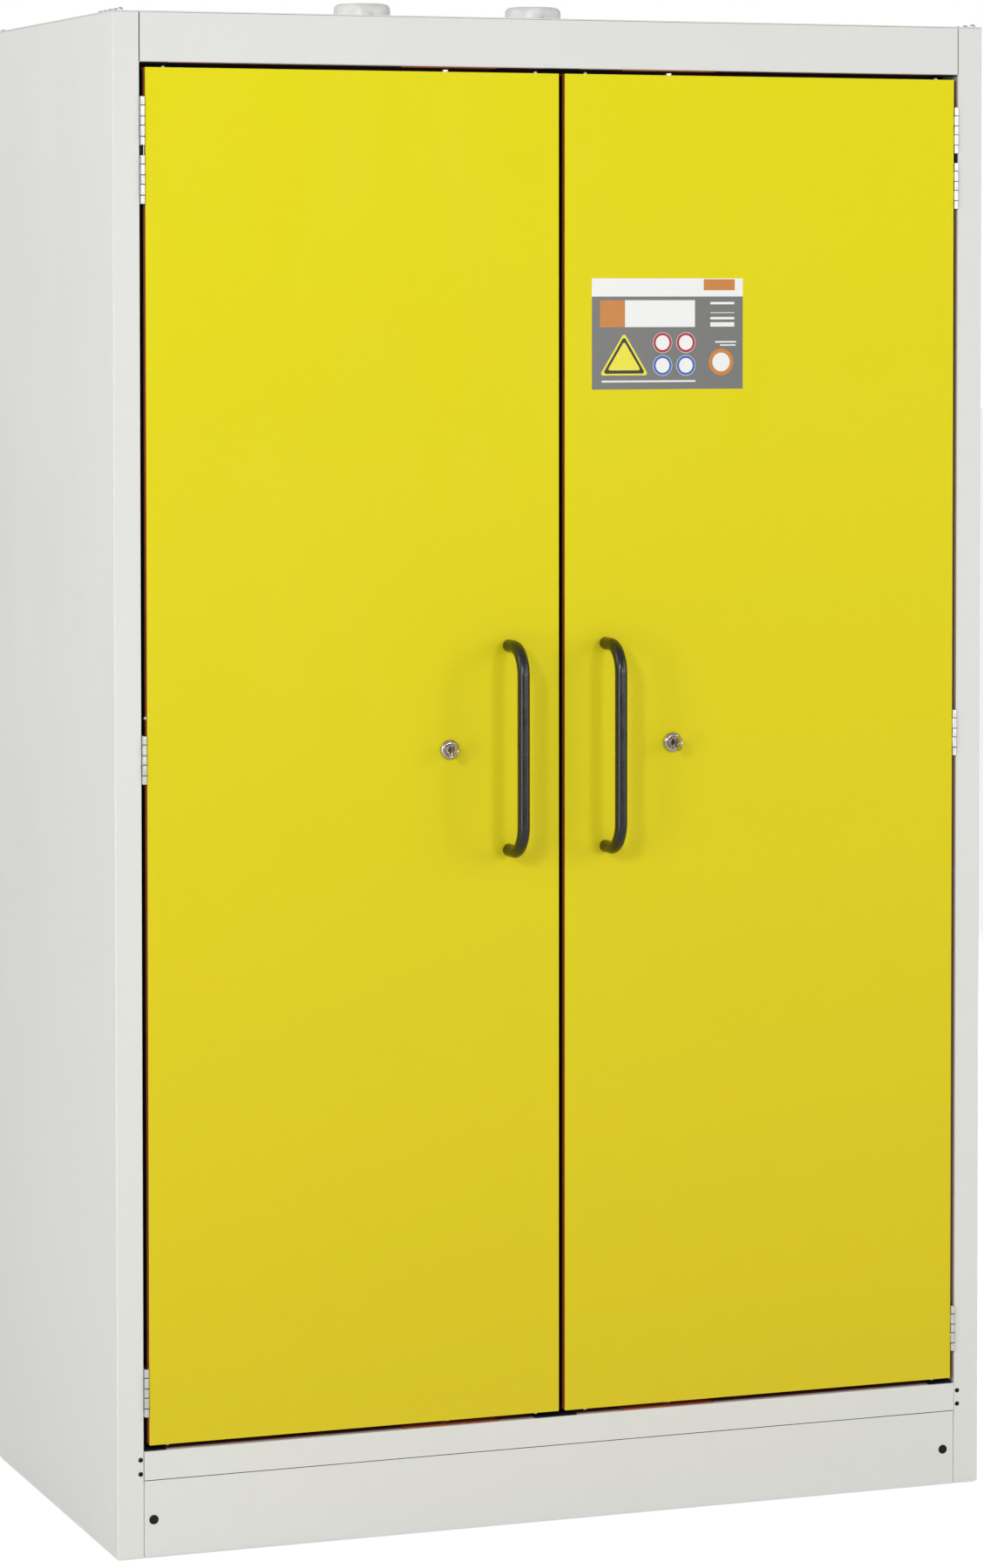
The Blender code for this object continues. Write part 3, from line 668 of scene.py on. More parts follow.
@dataclass(frozen=True)
class Softening:
    """How far the edges of a CAD solid are rounded, in metres."""

    fold: float = 0.0020
    inside: float = 0.0008
    cut: float = 0.00035
    narrow: float = 0.0026
    segments: int = 3
    sharp: float = 25.0
    flat: float = 0.5
    merge: float = 1e-5

    def copy(self, node: str) -> Mesh:
        """Copy a CAD node with folded edges rounded and cut edges broken.

        Args:
            node: The CAD node's name.

        Returns:
            A mesh whose rounded faces carry 1 in the attribute "edge".
        """
        bm = bmesh.new()
        bm.from_mesh(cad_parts[node].data)
        bmesh.ops.remove_doubles(bm, verts=bm.verts, dist=self.merge)
        flat = math.radians(self.flat)
        bmesh.ops.dissolve_limit(bm, angle_limit=flat, verts=bm.verts, edges=bm.edges)
        weight = bm.edges.layers.float.new("bevel_weight_edge")
        for edge in bm.edges:
            if not edge.is_manifold or edge.calc_face_angle(0.0) < math.radians(self.sharp):
                continue
            if min(face_width(f) for f in edge.link_faces) < self.narrow:
                edge[weight] = self.cut / self.fold
            elif edge.is_convex:
                edge[weight] = 1.0
            else:
                edge[weight] = self.inside / self.fold
        mesh = finished_mesh(bm, node + "_soft", None)
        mesh.shade_smooth()
        mesh.materials.clear()
        for _ in range(2):
            mesh.materials.append(None)
        obj = linked(node + "_soft", mesh)
        bevel = obj.modifiers.new("rounding", "BEVEL")
        bevel.width = self.fold
        bevel.segments = self.segments
        bevel.limit_method = "WEIGHT"
        bevel.use_clamp_overlap = False
        bevel.material = 1
        return marked_edges(settled(obj))


def marked_edges(mesh: Mesh, blend: float = 26.0) -> Mesh:
    """Keep flat faces flat to the rounding's edge, and mark the rounding.

    Args:
        mesh: A bevelled mesh whose rounded faces have material number 1; it is changed.
        blend: Flat faces that meet at less than this many degrees are shaded as one curve.

    Returns:
        The mesh, with the rounded faces at 1 in the attribute "edge" and no materials.
    """
    rounding = [p.material_index == 1 for p in mesh.polygons]
    normals = [p.normal.copy() for p in mesh.polygons]
    around = [[] for _ in mesh.vertices]
    for polygon in mesh.polygons:
        for index in polygon.vertices:
            around[index].append(polygon.index)
    near = math.cos(math.radians(blend))
    corners = []
    for polygon in mesh.polygons:
        for index in polygon.vertices:
            lead = normals[polygon.index]
            flat = [i for i in around[index] if not rounding[i]]
            if rounding[polygon.index] and flat:
                lead = max((normals[i] for i in flat), key=lead.dot)
            pool = flat or around[index]
            total = sum((normals[i] for i in pool if normals[i].dot(lead) > near or not flat), Vector())
            corners.append((total if total.length > 0 else lead).normalized())
    mesh.shade_smooth()
    mesh.normals_split_custom_set(corners)
    worn = mesh.attributes.new("edge", "FLOAT", "FACE")
    worn.data.foreach_set("value", [float(r) for r in rounding])
    mesh.polygons.foreach_set("material_index", [0] * len(rounding))
    mesh.materials.clear()
    return mesh


def cut_out(mesh: Mesh, tool: Mesh) -> Mesh:
    """Cut one mesh out of another.

    Args:
        mesh: The mesh that is cut.
        tool: What is taken away; its materials line the cut.

    Returns:
        What is left.
    """
    body = linked(mesh.name + "_body", mesh)
    cutter = linked(mesh.name + "_tool", tool)
    modifier = body.modifiers.new("cut", "BOOLEAN")
    modifier.operation = "DIFFERENCE"
    modifier.solver = "EXACT"
    modifier.object = cutter
    modifier.material_mode = "TRANSFER"
    result = settled(body)
    bpy.data.objects.remove(cutter)
    return result


# ---- Geometry Nodes -----------------------------------------------------------------------
class Socket(Enum):
    """The kinds of named input that the trees have."""

    SHAPE = "NodeSocketGeometry"
    LENGTH = "NodeSocketFloat"
    COUNT = "NodeSocketInt"
    OBJECT = "NodeSocketObject"
    MATERIAL = "NodeSocketMaterial"


class MakerTree(ABC):
    """A Geometry Nodes tree with named inputs, built once and used for several pieces."""

    name: str
    sockets: dict[str, Socket]

    def tree(self) -> NodeTree:
        """The tree, built on first use.

        Returns:
            The tree, with its named inputs.
        """
        found = bpy.data.node_groups.get(self.name)
        if found is not None:
            return found
        made = bpy.data.node_groups.new(self.name, "GeometryNodeTree")
        graph = Graph(made)
        made.interface.new_socket("Geometry", in_out="INPUT", socket_type=Socket.SHAPE.value)
        for label, kind in self.sockets.items():
            made.interface.new_socket(label, in_out="INPUT", socket_type=kind.value)
        made.interface.new_socket("Geometry", in_out="OUTPUT", socket_type=Socket.SHAPE.value)
        start = graph.add("NodeGroupInput")
        shape = self.wire(graph, start.outputs)
        real = graph.add("GeometryNodeRealizeInstances", {"Geometry": shape})
        finish = start.outputs["Finish"]
        painted = graph.add(
            "GeometryNodeSetMaterial", {"Geometry": real.outputs[0], "Material": finish},
        )
        graph.add("NodeGroupOutput", {"Geometry": painted.outputs[0]})
        return made

    @abstractmethod
    def wire(self, graph: Graph, given: NodeOutputs) -> NodeSocket:
        """Build the tree between its inputs and its closing nodes.

        Args:
            graph: Adds the nodes.
            given: The tree's own inputs, by name.

        Returns:
            The geometry that the closing nodes take.
        """

    def run(self, name: str, start: Mesh, **values: object) -> Mesh:
        """Run the tree on a mesh.

        Args:
            name: The result's name.
            start: The mesh that the tree starts from.
            **values: A value for each named input, with spaces as underscores.

        Returns:
            The plain mesh.
        """
        obj = linked(name, start)
        modifier = obj.modifiers.new(self.name, "NODES")
        modifier.node_group = self.tree()
        for item in modifier.node_group.interface.items_tree:
            key = item.name.replace(" ", "_")
            if item.in_out == "INPUT" and key in values:
                modifier[item.identifier] = values[key]
        return settled(obj)


class HeadScatter(MakerTree):
    """Sets a screw or rivet head on every point, along that point's "facing" vector."""

    name = "head scatter"
    sockets = {
        "Head": Socket.OBJECT, "Spin": Socket.LENGTH, "Seed": Socket.COUNT,
        "Finish": Socket.MATERIAL,
    }

    def wire(self, graph: Graph, given: NodeOutputs) -> NodeSocket:
        """Points, turned to face out and then spun at random round their own axis.

        Args:
            graph: Adds the nodes.
            given: The tree's own inputs, by name.

        Returns:
            The geometry that the closing nodes take.
        """
        points = graph.add("GeometryNodeMeshToPoints", {"Mesh": given["Geometry"]})
        head = graph.add("GeometryNodeObjectInfo", {"Object": given["Head"]})
        way = graph.add("GeometryNodeInputNamedAttribute", {"Name": "facing"}, data_type="FLOAT_VECTOR")
        turn = graph.add(
            "FunctionNodeAlignRotationToVector", {"Vector": way.outputs["Attribute"]}, axis="Z"
        )
        heads = graph.add(
            "GeometryNodeInstanceOnPoints",
            {
                "Points": points.outputs[0], "Instance": head.outputs["Geometry"],
                "Rotation": turn.outputs[0],
            },
        )
        spin = graph.add(
            "FunctionNodeRandomValue", {"Min": 0.0, "Max": given["Spin"], "Seed": given["Seed"]}
        )
        angle = graph.add("ShaderNodeCombineXYZ", {"Z": spin.outputs["Value"]})
        spun = graph.add(
            "GeometryNodeRotateInstances", {"Instances": heads.outputs[0], "Rotation": angle.outputs[0]}
        )
        return spun.outputs[0]


class PunchGrid(MakerTree):
    """Repeats one punch over a grid in the plane of x and y, centred on the origin."""

    name = "punch grid"
    sockets = {
        "Punch": Socket.OBJECT, "Columns": Socket.COUNT, "Rows": Socket.COUNT,
        "Column Pitch": Socket.LENGTH, "Row Pitch": Socket.LENGTH, "Finish": Socket.MATERIAL,
    }

    def wire(self, graph: Graph, given: NodeOutputs) -> NodeSocket:
        """A row of punches along y, and that row repeated along x.

        Args:
            graph: Adds the nodes.
            given: The tree's own inputs, by name.

        Returns:
            The geometry that the closing nodes take.
        """
        punch = graph.add("GeometryNodeObjectInfo", {"Object": given["Punch"]})
        shape = punch.outputs["Geometry"]
        for axis, count, pitch in (("Y", "Rows", "Row Pitch"), ("X", "Columns", "Column Pitch")):
            back = given[count]
            for operation, value in (("SUBTRACT", 1.0), ("MULTIPLY", given[pitch]), ("MULTIPLY", -0.5)):
                step = graph.add("ShaderNodeMath", {0: back, 1: value}, operation=operation)
                back = step.outputs[0]
            start = graph.add("ShaderNodeCombineXYZ", {axis: back})
            step = graph.add("ShaderNodeCombineXYZ", {axis: given[pitch]})
            line = graph.add(
                "GeometryNodeMeshLine",
                {"Count": given[count], "Start Location": start.outputs[0], "Offset": step.outputs[0]},
            )
            made = graph.add(
                "GeometryNodeInstanceOnPoints", {"Points": line.outputs[0], "Instance": shape}
            )
            shape = made.outputs[0]
        return shape

    def punches(self, punch: Mesh, counts: tuple[int, int], pitches: tuple[float, float],
                place: Matrix) -> Mesh:
        """A grid of punches, ready to cut with.

        Args:
            punch: One punch, round the origin.
            counts: Columns along x and rows along y.
            pitches: The distance between columns and between rows.
            place: Carries the grid to where it cuts.

        Returns:
            One mesh with every punch.
        """
        source = linked("punch", punch)
        tool = self.run(
            "punches", bpy.data.meshes.new("nothing"), Punch=source, Columns=counts[0], Rows=counts[1],
            Column_Pitch=pitches[0], Row_Pitch=pitches[1], Finish=GALVANISED.material(),
        )
        bpy.data.objects.remove(source)
        tool.transform(place)
        return tool


class BentBar(MakerTree):
    """Bends a round bar along the start mesh's edges, with a radius at each corner."""

    name = "bent bar"
    sockets = {
        "Bar Radius": Socket.LENGTH, "Bend Radius": Socket.LENGTH, "Bend Steps": Socket.COUNT,
        "Sides": Socket.COUNT, "Finish": Socket.MATERIAL,
    }

    def wire(self, graph: Graph, given: NodeOutputs) -> NodeSocket:
        """Edges to a curve, its corners filleted, and a circle carried along it.

        Args:
            graph: Adds the nodes.
            given: The tree's own inputs, by name.

        Returns:
            The geometry that the closing nodes take.
        """
        path = graph.add("GeometryNodeMeshToCurve", {"Mesh": given["Geometry"]})
        bent = graph.add(
            "GeometryNodeFilletCurve",
            {"Curve": path.outputs[0], "Radius": given["Bend Radius"], "Count": given["Bend Steps"]},
            mode="POLY",
        )
        ring = graph.add(
            "GeometryNodeCurvePrimitiveCircle",
            {"Resolution": given["Sides"], "Radius": given["Bar Radius"]},
        )
        bar = graph.add(
            "GeometryNodeCurveToMesh",
            {"Curve": bent.outputs[0], "Profile Curve": ring.outputs[0], "Fill Caps": True},
        )
        return bar.outputs[0]


# ---- fitting pieces to the frame ----------------------------------------------------------
@dataclass
class Fitting:
    """Where a finished mesh goes: its name, its body and the CAD nodes that it stands for."""

    name: str
    body: str
    finishes: tuple[Finish, ...]
    stands_for: tuple[str, ...] = ()

    def mount(self, mesh: Mesh) -> Object:
        """Give a mesh its finishes and set it on its body.

        Args:
            mesh: The plain mesh, in place.

        Returns:
            The piece.
        """
        last = len(self.finishes) - 1
        numbers = [min(p.material_index, last) for p in mesh.polygons]
        mesh.materials.clear()
        for finish in self.finishes:
            mesh.materials.append(finish.material())
        mesh.polygons.foreach_set("material_index", numbers)
        obj = linked(self.name, mesh)
        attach(obj, self.body)
        if self.stands_for:
            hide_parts(*self.stands_for)
        LOG.info("%s on %s: %d faces", self.name, self.body, len(mesh.polygons))
        return obj


def soft_piece(node: str, name: str, finish: Finish, softening: Softening,
               body: str = "root") -> Object:
    """Show a softened copy of one CAD node in its place.

    Args:
        node: The CAD node.
        name: The piece's name.
        finish: Its finish.
        softening: How far its edges are rounded.
        body: The body that it is on.

    Returns:
        The piece.
    """
    return Fitting(name, body, (finish,), (node,)).mount(softening.copy(node))


SHEET = Softening()
BOARD = Softening(fold=0.0009, inside=0.0006, cut=0.0005, segments=2)
HEAVY = Softening(fold=0.0030, inside=0.0010, cut=0.0008)


class SubAssembly(ABC):
    """A group of pieces that is built and fitted together."""

    @abstractmethod
    def build(self) -> None:
        """Make every piece of the group and fit it to the frame."""


# ---- fasteners ----------------------------------------------------------------------------
@dataclass(frozen=True)
class Head:
    """A screw or rivet head, modelled at the origin and pointing up."""

    name: str
    radius: float
    height: float
    recess: float = 0.0
    depth: float = 0.0004
    steps: int = 12
    rings: int = 3
    brim: float = 0.25
    recess_arm: float = 0.62
    shade_arm: float = 0.55
    shade_width: float = 0.60

    def mesh(self) -> Mesh:
        """The head itself.

        Returns:
            A dome on a brim, with a cross recess if it has one.
        """
        profile = [(0.0, -self.depth), (self.radius, -self.depth)]
        for i in range(self.rings):
            angle = math.radians(90 * i / self.rings)
            rise = self.brim + (1 - self.brim) * math.sin(angle)
            profile.append((self.radius * math.cos(angle), self.height * rise))
        profile.append((0.0, self.height))
        head = turned(self.name, profile, Vector(), steps=self.steps)
        if self.recess > 0:
            low = 0.35 * self.height - 0.8 * self.depth
            for bar in self._cross(self.recess_arm, 1.0, low, self.height + 0.001):
                head = cut_out(head, bar)
        return head

    def shade(self) -> Mesh:
        """The dark cross of painted shade that lies in the head's recess.

        Returns:
            Its two bars, a little proud of the head.
        """
        bars = self._cross(self.shade_arm, self.shade_width, 0.0, self.height * 1.04)
        return joined(self.name + " shade", bars)

    def _cross(self, arm: float, width: float, low: float, high: float) -> list[Mesh]:
        """Two crossed bars.

        Args:
            arm: Each arm's reach, as a share of the head's radius.
            width: Their width, as a share of the recess's.
            low: Their bottom.
            high: Their top.

        Returns:
            The bars.
        """
        reach, half = self.radius * arm, self.recess * width / 2
        return [
            block("cross bar", Vector((-x, -y, low)), Vector((x, y, high)), SHARP)
            for x, y in ((reach, half), (half, reach))
        ]


ROOF_SCREW = Head("roof screw", 0.0040, 0.0038, recess=0.0014)
SMALL_SCREW = Head("small countersunk screw", 0.0021, 0.0006, recess=0.0008)
POST_SCREW = Head("post screw", 0.0031, 0.0009, recess=0.0013, depth=0.0030)
EDGE_SCREW = Head("door edge screw", 0.0029, 0.0031, recess=0.0010)
RIVET = Head("blind rivet", 0.0033, 0.0013, steps=10, rings=2)


def scatter(name: str, shape: Mesh, places: Sequence[Seat], finish: Finish, seed: int = 3,
            spin: float = 2 * math.pi) -> Mesh:
    """Set a head, or another small shape that points up, at the given places.

    Args:
        name: The result's name.
        shape: The shape to repeat.
        places: Each one's seat and the way that it points.
        finish: Their finish.
        seed: Fixes how they are turned.
        spin: The most that one is turned, in radians.

    Returns:
        One mesh with all of them.
    """
    start = bpy.data.meshes.new(name)
    start.from_pydata([p for p, _ in places], [], [])
    facing = start.attributes.new("facing", "FLOAT_VECTOR", "POINT")
    facing.data.foreach_set("vector", [c for _, way in places for c in way.vector])
    source = linked(shape.name, shape)
    made = HeadScatter().run(
        name, start, Head=source, Spin=spin, Seed=seed, Finish=finish.material(),
    )
    bpy.data.objects.remove(source)
    return made


# ---- housing ------------------------------------------------------------------------------
@dataclass
class Housing(SubAssembly):
    """Outer sheets, their screws and rivets, the plinth's plugs and the header's and sill's pads."""

    roof_screw_inset: float = 0.012
    roof_screw_start: float = 0.0050
    roof_screw_pitch: float = 0.0225
    roof_screw_count: int = 5
    rivet_inset: float = 0.012
    rivet_pitch: float = 0.16
    plug_radius: float = 0.0060
    plug_places: tuple[Pair, ...] = ((-0.550, 0.049), (0.546, 0.048))
    post_screw_x: float = 0.567
    post_screw_heights: Pair = (0.126, 0.108)
    post_screw_spin: float = 0.3
    pad_height: float = 0.0016
    pad_depths: Pair = (0.0005, 0.030)
    pad_rounding: float = 0.0005
    header_pads: tuple[Pair, ...] = ((-0.561, -0.525), (-0.022, 0.026), (0.529, 0.5615))
    sill_pads: tuple[Pair, ...] = ((-0.5615, -0.533), (-0.036, 0.022), (0.526, 0.560))
    strip_half: float = 0.5615
    strip_thick: float = 0.0013
    strip_depths: Pair = (0.0090, 0.0440)
    # painted shade: black bars that fill the gaps' height behind the doors
    lip_thick: float = 0.0074
    lip_depths: Pair = (0.0482, 0.0545)
    bar_rounding: float = 0.0003
    seam_half: float = 0.0006
    seam_depths: Pair = (0.0001, 0.0030)
    seam_ends: Pair = (0.001, 0.002)

    def build(self) -> None:
        """Sheets first, then what is fixed to them."""
        sheets = {
            "left_side_panel": "left_side_sheet", "right_side_panel": "right_side_sheet",
            "rear_panel": "rear_sheet", "roof_panel": "roof_sheet", "header_fascia": "header_sheet",
            "sill_rail": "sill_sheet", "plinth_cover": "plinth_sheet",
        }
        for node, name in sheets.items():
            soft_piece(node, name, GREY_PAINT, SHEET)
        for side in Side:
            for level in ("upper", "lower"):
                node = f"{side.word}_{level}_strike"
                soft_piece(node, node + "_block", BROWN_BOARD, BOARD)
        self._roof_screws()
        self._rear_rivets()
        self._post_screws()
        self._plugs()
        self._pads()
        self._strips()
        self._seams()

    def _roof_screws(self) -> None:
        """A short row of heads back from each front corner, and one at each rear corner."""
        low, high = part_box("roof_panel")
        places = []
        for side in Side:
            x = side.value * (high.x - self.roof_screw_inset)
            start, pitch = self.roof_screw_start, self.roof_screw_pitch
            depths = [start + i * pitch for i in range(self.roof_screw_count)]
            depths.append(high.y - low.y - 2 * start)
            places += [(at(x, depth, high.z), Facing.UP) for depth in depths]
        mesh = scatter("roof_screws", ROOF_SCREW.mesh(), places, ZINC)
        Fitting("roof_screws", "root", (ZINC,)).mount(mesh)

    def _rear_rivets(self) -> None:
        """Rivets round the edge of the rear sheet."""
        low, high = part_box("rear_panel")
        inset = self.rivet_inset
        edges = (low.x + inset, high.x - inset)
        levels = (low.z + 2 * inset, high.z - inset)
        wide, tall = edges[1] - edges[0], levels[1] - levels[0]
        columns, rows = round(wide / self.rivet_pitch), round(tall / self.rivet_pitch)
        spots = []
        for i in range(columns + 1):
            spots += [(edges[0] + wide * i / columns, z) for z in levels]
        for i in range(1, rows):
            spots += [(x, levels[0] + tall * i / rows) for x in edges]
        places = [(Vector((x, high.y, z)), Facing.REAR) for x, z in spots]
        mesh = scatter("rear_rivets", RIVET.mesh(), places, ZINC)
        Fitting("rear_rivets", "root", (ZINC,)).mount(mesh)

    def _post_screws(self) -> None:
        """Two small screws in each post, beside the sill."""
        places = [
            (at(side.value * self.post_screw_x, 0.0, z), Facing.FRONT)
            for side in Side for z in self.post_screw_heights
        ]
        spin = self.post_screw_spin
        heads = scatter("post_screws", POST_SCREW.mesh(), places, ZINC, spin=spin)
        # painted shade in the screws' recesses
        shades = scatter("post_screw_shades", POST_SCREW.shade(), places, RUBBER_AND_SHADE, spin=spin)
        Fitting("post_screws", "root", (ZINC, RUBBER_AND_SHADE)).mount(joined("post_screws", [heads, shades]))

    def _plugs(self) -> None:
        """A black plug in each end of the plinth, over the levelling feet's access holes."""
        r = self.plug_radius
        profile = [
            (0.0, -0.0006), (r, -0.0006), (r, 0.0004), (r * 0.93, 0.0009), (r * 0.80, 0.0010),
            (r * 0.72, 0.0006), (r * 0.45, 0.0005), (0.0, 0.0008),
        ]
        meshes = [
            turned(f"plug_{i}", profile, at(x, 0.0, z), Facing.FRONT, 32)
            for i, (x, z) in enumerate(self.plug_places)
        ]
        Fitting("plinth_plugs", "root", (RUBBER_AND_SHADE,)).mount(joined("plinth_plugs", meshes))

    def _pads(self) -> None:
        """Black rubbing pads under the header and on the sill."""
        header, sill = self._sealing_levels()
        tall, near, far = self.pad_height, *self.pad_depths
        meshes = []
        for spans, low, high in (
            (self.header_pads, header - tall, header), (self.sill_pads, sill, sill + tall),
        ):
            for x0, x1 in spans:
                meshes.append(block("pad", at(x0, near, low), at(x1, far, high), self.pad_rounding))
        Fitting("door_pads", "root", (RUBBER_AND_SHADE,)).mount(joined("door_pads", meshes))

    def _sealing_levels(self) -> Pair:
        """The heights of the header's underside and of the sill's top."""
        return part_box("header_fascia")[0].z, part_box("sill_rail")[1].z

    def _strips(self) -> None:
        """Swelling strips under the header and on the sill, clear of the strikes, and black bars of
        painted shade.
        """
        edge = self.strip_half
        inner, outer = (corner.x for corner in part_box("right_upper_strike"))
        clear = ((-edge, -outer), (-inner, inner), (outer, edge))
        # The strips' dark colour and the black bars behind the doors are painted shade.
        self._bars("swelling_strips", SWELLING_STRIP_AND_SHADE, clear, self.strip_thick, self.strip_depths)
        self._bars("frame_lips", RUBBER_AND_SHADE, ((-edge, edge),), self.lip_thick, self.lip_depths)

    def _bars(self, name: str, finish: Finish, spans: Outline, thick: float, depths: Pair) -> None:
        """Fix level bars to the header's underside and to the sill's top.

        Args:
            name: The piece's name.
            finish: Its finish.
            spans: Each bar's lowest and highest x.
            thick: How far the bars stand out from the header and the sill.
            depths: Their front and rear, behind the housing's front plane.
        """
        header, sill = self._sealing_levels()
        near, far = depths
        meshes = []
        for low, high in ((header - thick, header), (sill, sill + thick)):
            for x0, x1 in spans:
                meshes.append(block(name, at(x0, near, low), at(x1, far, high), self.bar_rounding))
        Fitting(name, "root", (finish,)).mount(joined(name, meshes))

    def _seams(self) -> None:
        """A black strip of painted shade in the joint between the header and each post."""
        low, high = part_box("header_fascia")
        half, (near, far), (foot, head) = self.seam_half, self.seam_depths, self.seam_ends
        meshes = [
            block("seam", at(x - half, near, low.z + foot), at(x + half, far, high.z - head), SHARP)
            for x in (low.x, high.x)
        ]
        Fitting("header_joint_seals", "root", (RUBBER_AND_SHADE,)).mount(joined("header_joint_seals", meshes))


@dataclass
class RoofVents(SubAssembly):
    """The two white caps on the roof."""

    rim: float = 0.0075
    rim_steps: int = 8
    steps: int = 72
    stub_share: float = 0.65
    lift: float = 0.0003
    lip: Pair = (0.0005, 0.0006)
    hole_radius: float = 0.0045
    hole_height: float = 0.0175
    hole_depth: float = 0.010
    hole_length: float = 0.03

    def build(self) -> None:
        """A turned cap with a small hole low on its front, lined with painted shade, over its stub."""
        for side in Side:
            node = f"{side.word}_vent_cap"
            low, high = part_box(node)
            radius = (high.x - low.x) / 2
            stub = radius * self.stub_share
            centre = Vector(((low.x + high.x) / 2, (low.y + high.y) / 2, 0.0))
            foot = ROOF + self.lift
            profile = [(0.0, low.z), (stub, low.z), (stub, foot)]
            profile += [(radius - self.lip[0], foot), (radius, foot + self.lip[1])]
            profile += arc((radius - self.rim, high.z - self.rim), self.rim, 0, 90, self.rim_steps)
            profile += [(radius * 0.5, high.z), (0.0, high.z)]
            cap = turned(node + "_turned", profile, centre, steps=self.steps)
            cap.materials.append(WHITE_PLASTIC.material())
            mouth = Vector((centre.x, low.y + self.hole_depth, ROOF + self.hole_height))
            tool = drum("hole", self.hole_radius, 0, self.hole_length, mouth, Facing.FRONT, 24)
            # the hole is lined with painted shade
            tool.materials.append(VENT_HOLE_SHADE.material())
            cap = cut_out(cap, tool)
            finishes = (WHITE_PLASTIC, VENT_HOLE_SHADE)
            Fitting(f"{side.word}_roof_vent", "root", finishes, (node,)).mount(cap)


# ---- inside -------------------------------------------------------------------------------
@dataclass
class Interior(SubAssembly):
    """Boards, seal, duct, slotted uprights, shelves and sump."""

    hole_radius: float = 0.0045
    hole_pitch: float = 0.034
    punch_reach: float = 0.004
    slot_size: Size = (0.006, 0.0032, 0.010)
    slot_pitch: float = 0.025
    seal_lobe: float = 0.0021
    seal_lobe_inset: float = 0.0006
    seal_overlap: float = 0.0013

    def build(self) -> None:
        """Everything that is seen once the doors are open."""
        boards = ("left_side", "right_side", "rear", "roof", "floor")
        for board in boards:
            soft_piece(f"{board}_insulation", f"{board}_board", WHITE_BOARD, BOARD)
        soft_piece("exhaust_duct", "exhaust_duct_sheet", GREY_PAINT, SHEET)
        soft_piece("sump_tray", "sump_tray_sheet", GREY_PAINT, SHEET)
        for level in ("lower", "middle", "upper"):
            soft_piece(f"{level}_shelf", f"{level}_shelf_sheet", GREY_PAINT, SHEET)
        self._insert()
        self._uprights()
        self._seal()

    def _insert(self) -> None:
        """The perforated insert: its top punched all over."""
        low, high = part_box("sump_insert")
        pitch = self.hole_pitch
        counts = (round((high.x - low.x) / pitch) - 1, round((high.y - low.y) / pitch) - 1)
        reach = self.punch_reach
        punch = drum("punch", self.hole_radius, -reach, reach, Vector(), steps=12)
        middle = (low + high) / 2
        place = Matrix.Translation((middle.x, middle.y, high.z))
        tool = PunchGrid().punches(punch, counts, (pitch, pitch), place)
        mesh = cut_out(SHEET.copy("sump_insert"), tool)
        Fitting("sump_insert_sheet", "root", (GALVANISED,), ("sump_insert",)).mount(mesh)

    def _uprights(self) -> None:
        """Four strips, each with a row of slots for the shelf hooks."""
        half = Vector(self.slot_size) / 2
        for side in Side:
            for end in ("front", "rear"):
                node = f"{side.word}_{end}_shelf_upright"
                low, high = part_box(node)
                rows = int((high.z - low.z) / self.slot_pitch) - 1
                place = Matrix.Translation((low + high) / 2) @ Matrix.Rotation(math.pi / 2, 4, "X")
                slot = block("slot", -half, half, SHARP)
                tool = PunchGrid().punches(slot, (1, rows), (0.0, self.slot_pitch), place)
                mesh = cut_out(BOARD.copy(node), tool)
                name = f"{side.word}_{end}_slotted_strip"
                Fitting(name, "root", (GALVANISED,), (node,)).mount(mesh)

    def _seal(self) -> None:
        """A rubber ring with two lobes, mitred at its corners."""
        low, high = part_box("door_seal")
        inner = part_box("roof_insulation")[1].x + self.seal_overlap
        width = high.x - inner
        back, front = high.y, low.y
        lobe = self.seal_lobe
        inset = lobe + self.seal_lobe_inset
        profile = [(0.0, back), (0.0, front + 2 * lobe)]
        for centre in (inset, width - inset):
            profile += arc((centre, front + lobe), lobe, 180, 360, 8)
        profile += [(width, front + 2 * lobe), (width, back)]
        mesh = mitred_ring("door_seal_lips", profile, inner, low.z + width, high.z - width)
        Fitting("door_seal_lips", "root", (RUBBER_AND_SHADE,), ("door_seal",)).mount(mesh)


def mitred_ring(name: str, profile: Outline, half: float, z_low: float, z_high: float) -> Mesh:
    """Carry a profile round an upright rectangle.

    Args:
        name: The mesh's name.
        profile: (distance outwards, y) points of the closed section.
        half: Half the rectangle's width.
        z_low: The rectangle's bottom.
        z_high: The rectangle's top.

    Returns:
        The closed ring.
    """
    bm = bmesh.new()
    corners = ((-1, z_low, -1), (1, z_low, -1), (1, z_high, 1), (-1, z_high, 1))
    rings = []
    for sx, z, sz in corners:
        rings.append([bm.verts.new((sx * (half + u), y, z + sz * u)) for u, y in profile])
    for i, ring in enumerate(rings):
        after = rings[(i + 1) % len(rings)]
        for j in range(len(profile)):
            k = (j + 1) % len(profile)
            bm.faces.new((ring[j], ring[k], after[k], after[j]))
    bmesh.ops.recalc_face_normals(bm, faces=bm.faces)
    return finished_mesh(bm, name, 50.0)


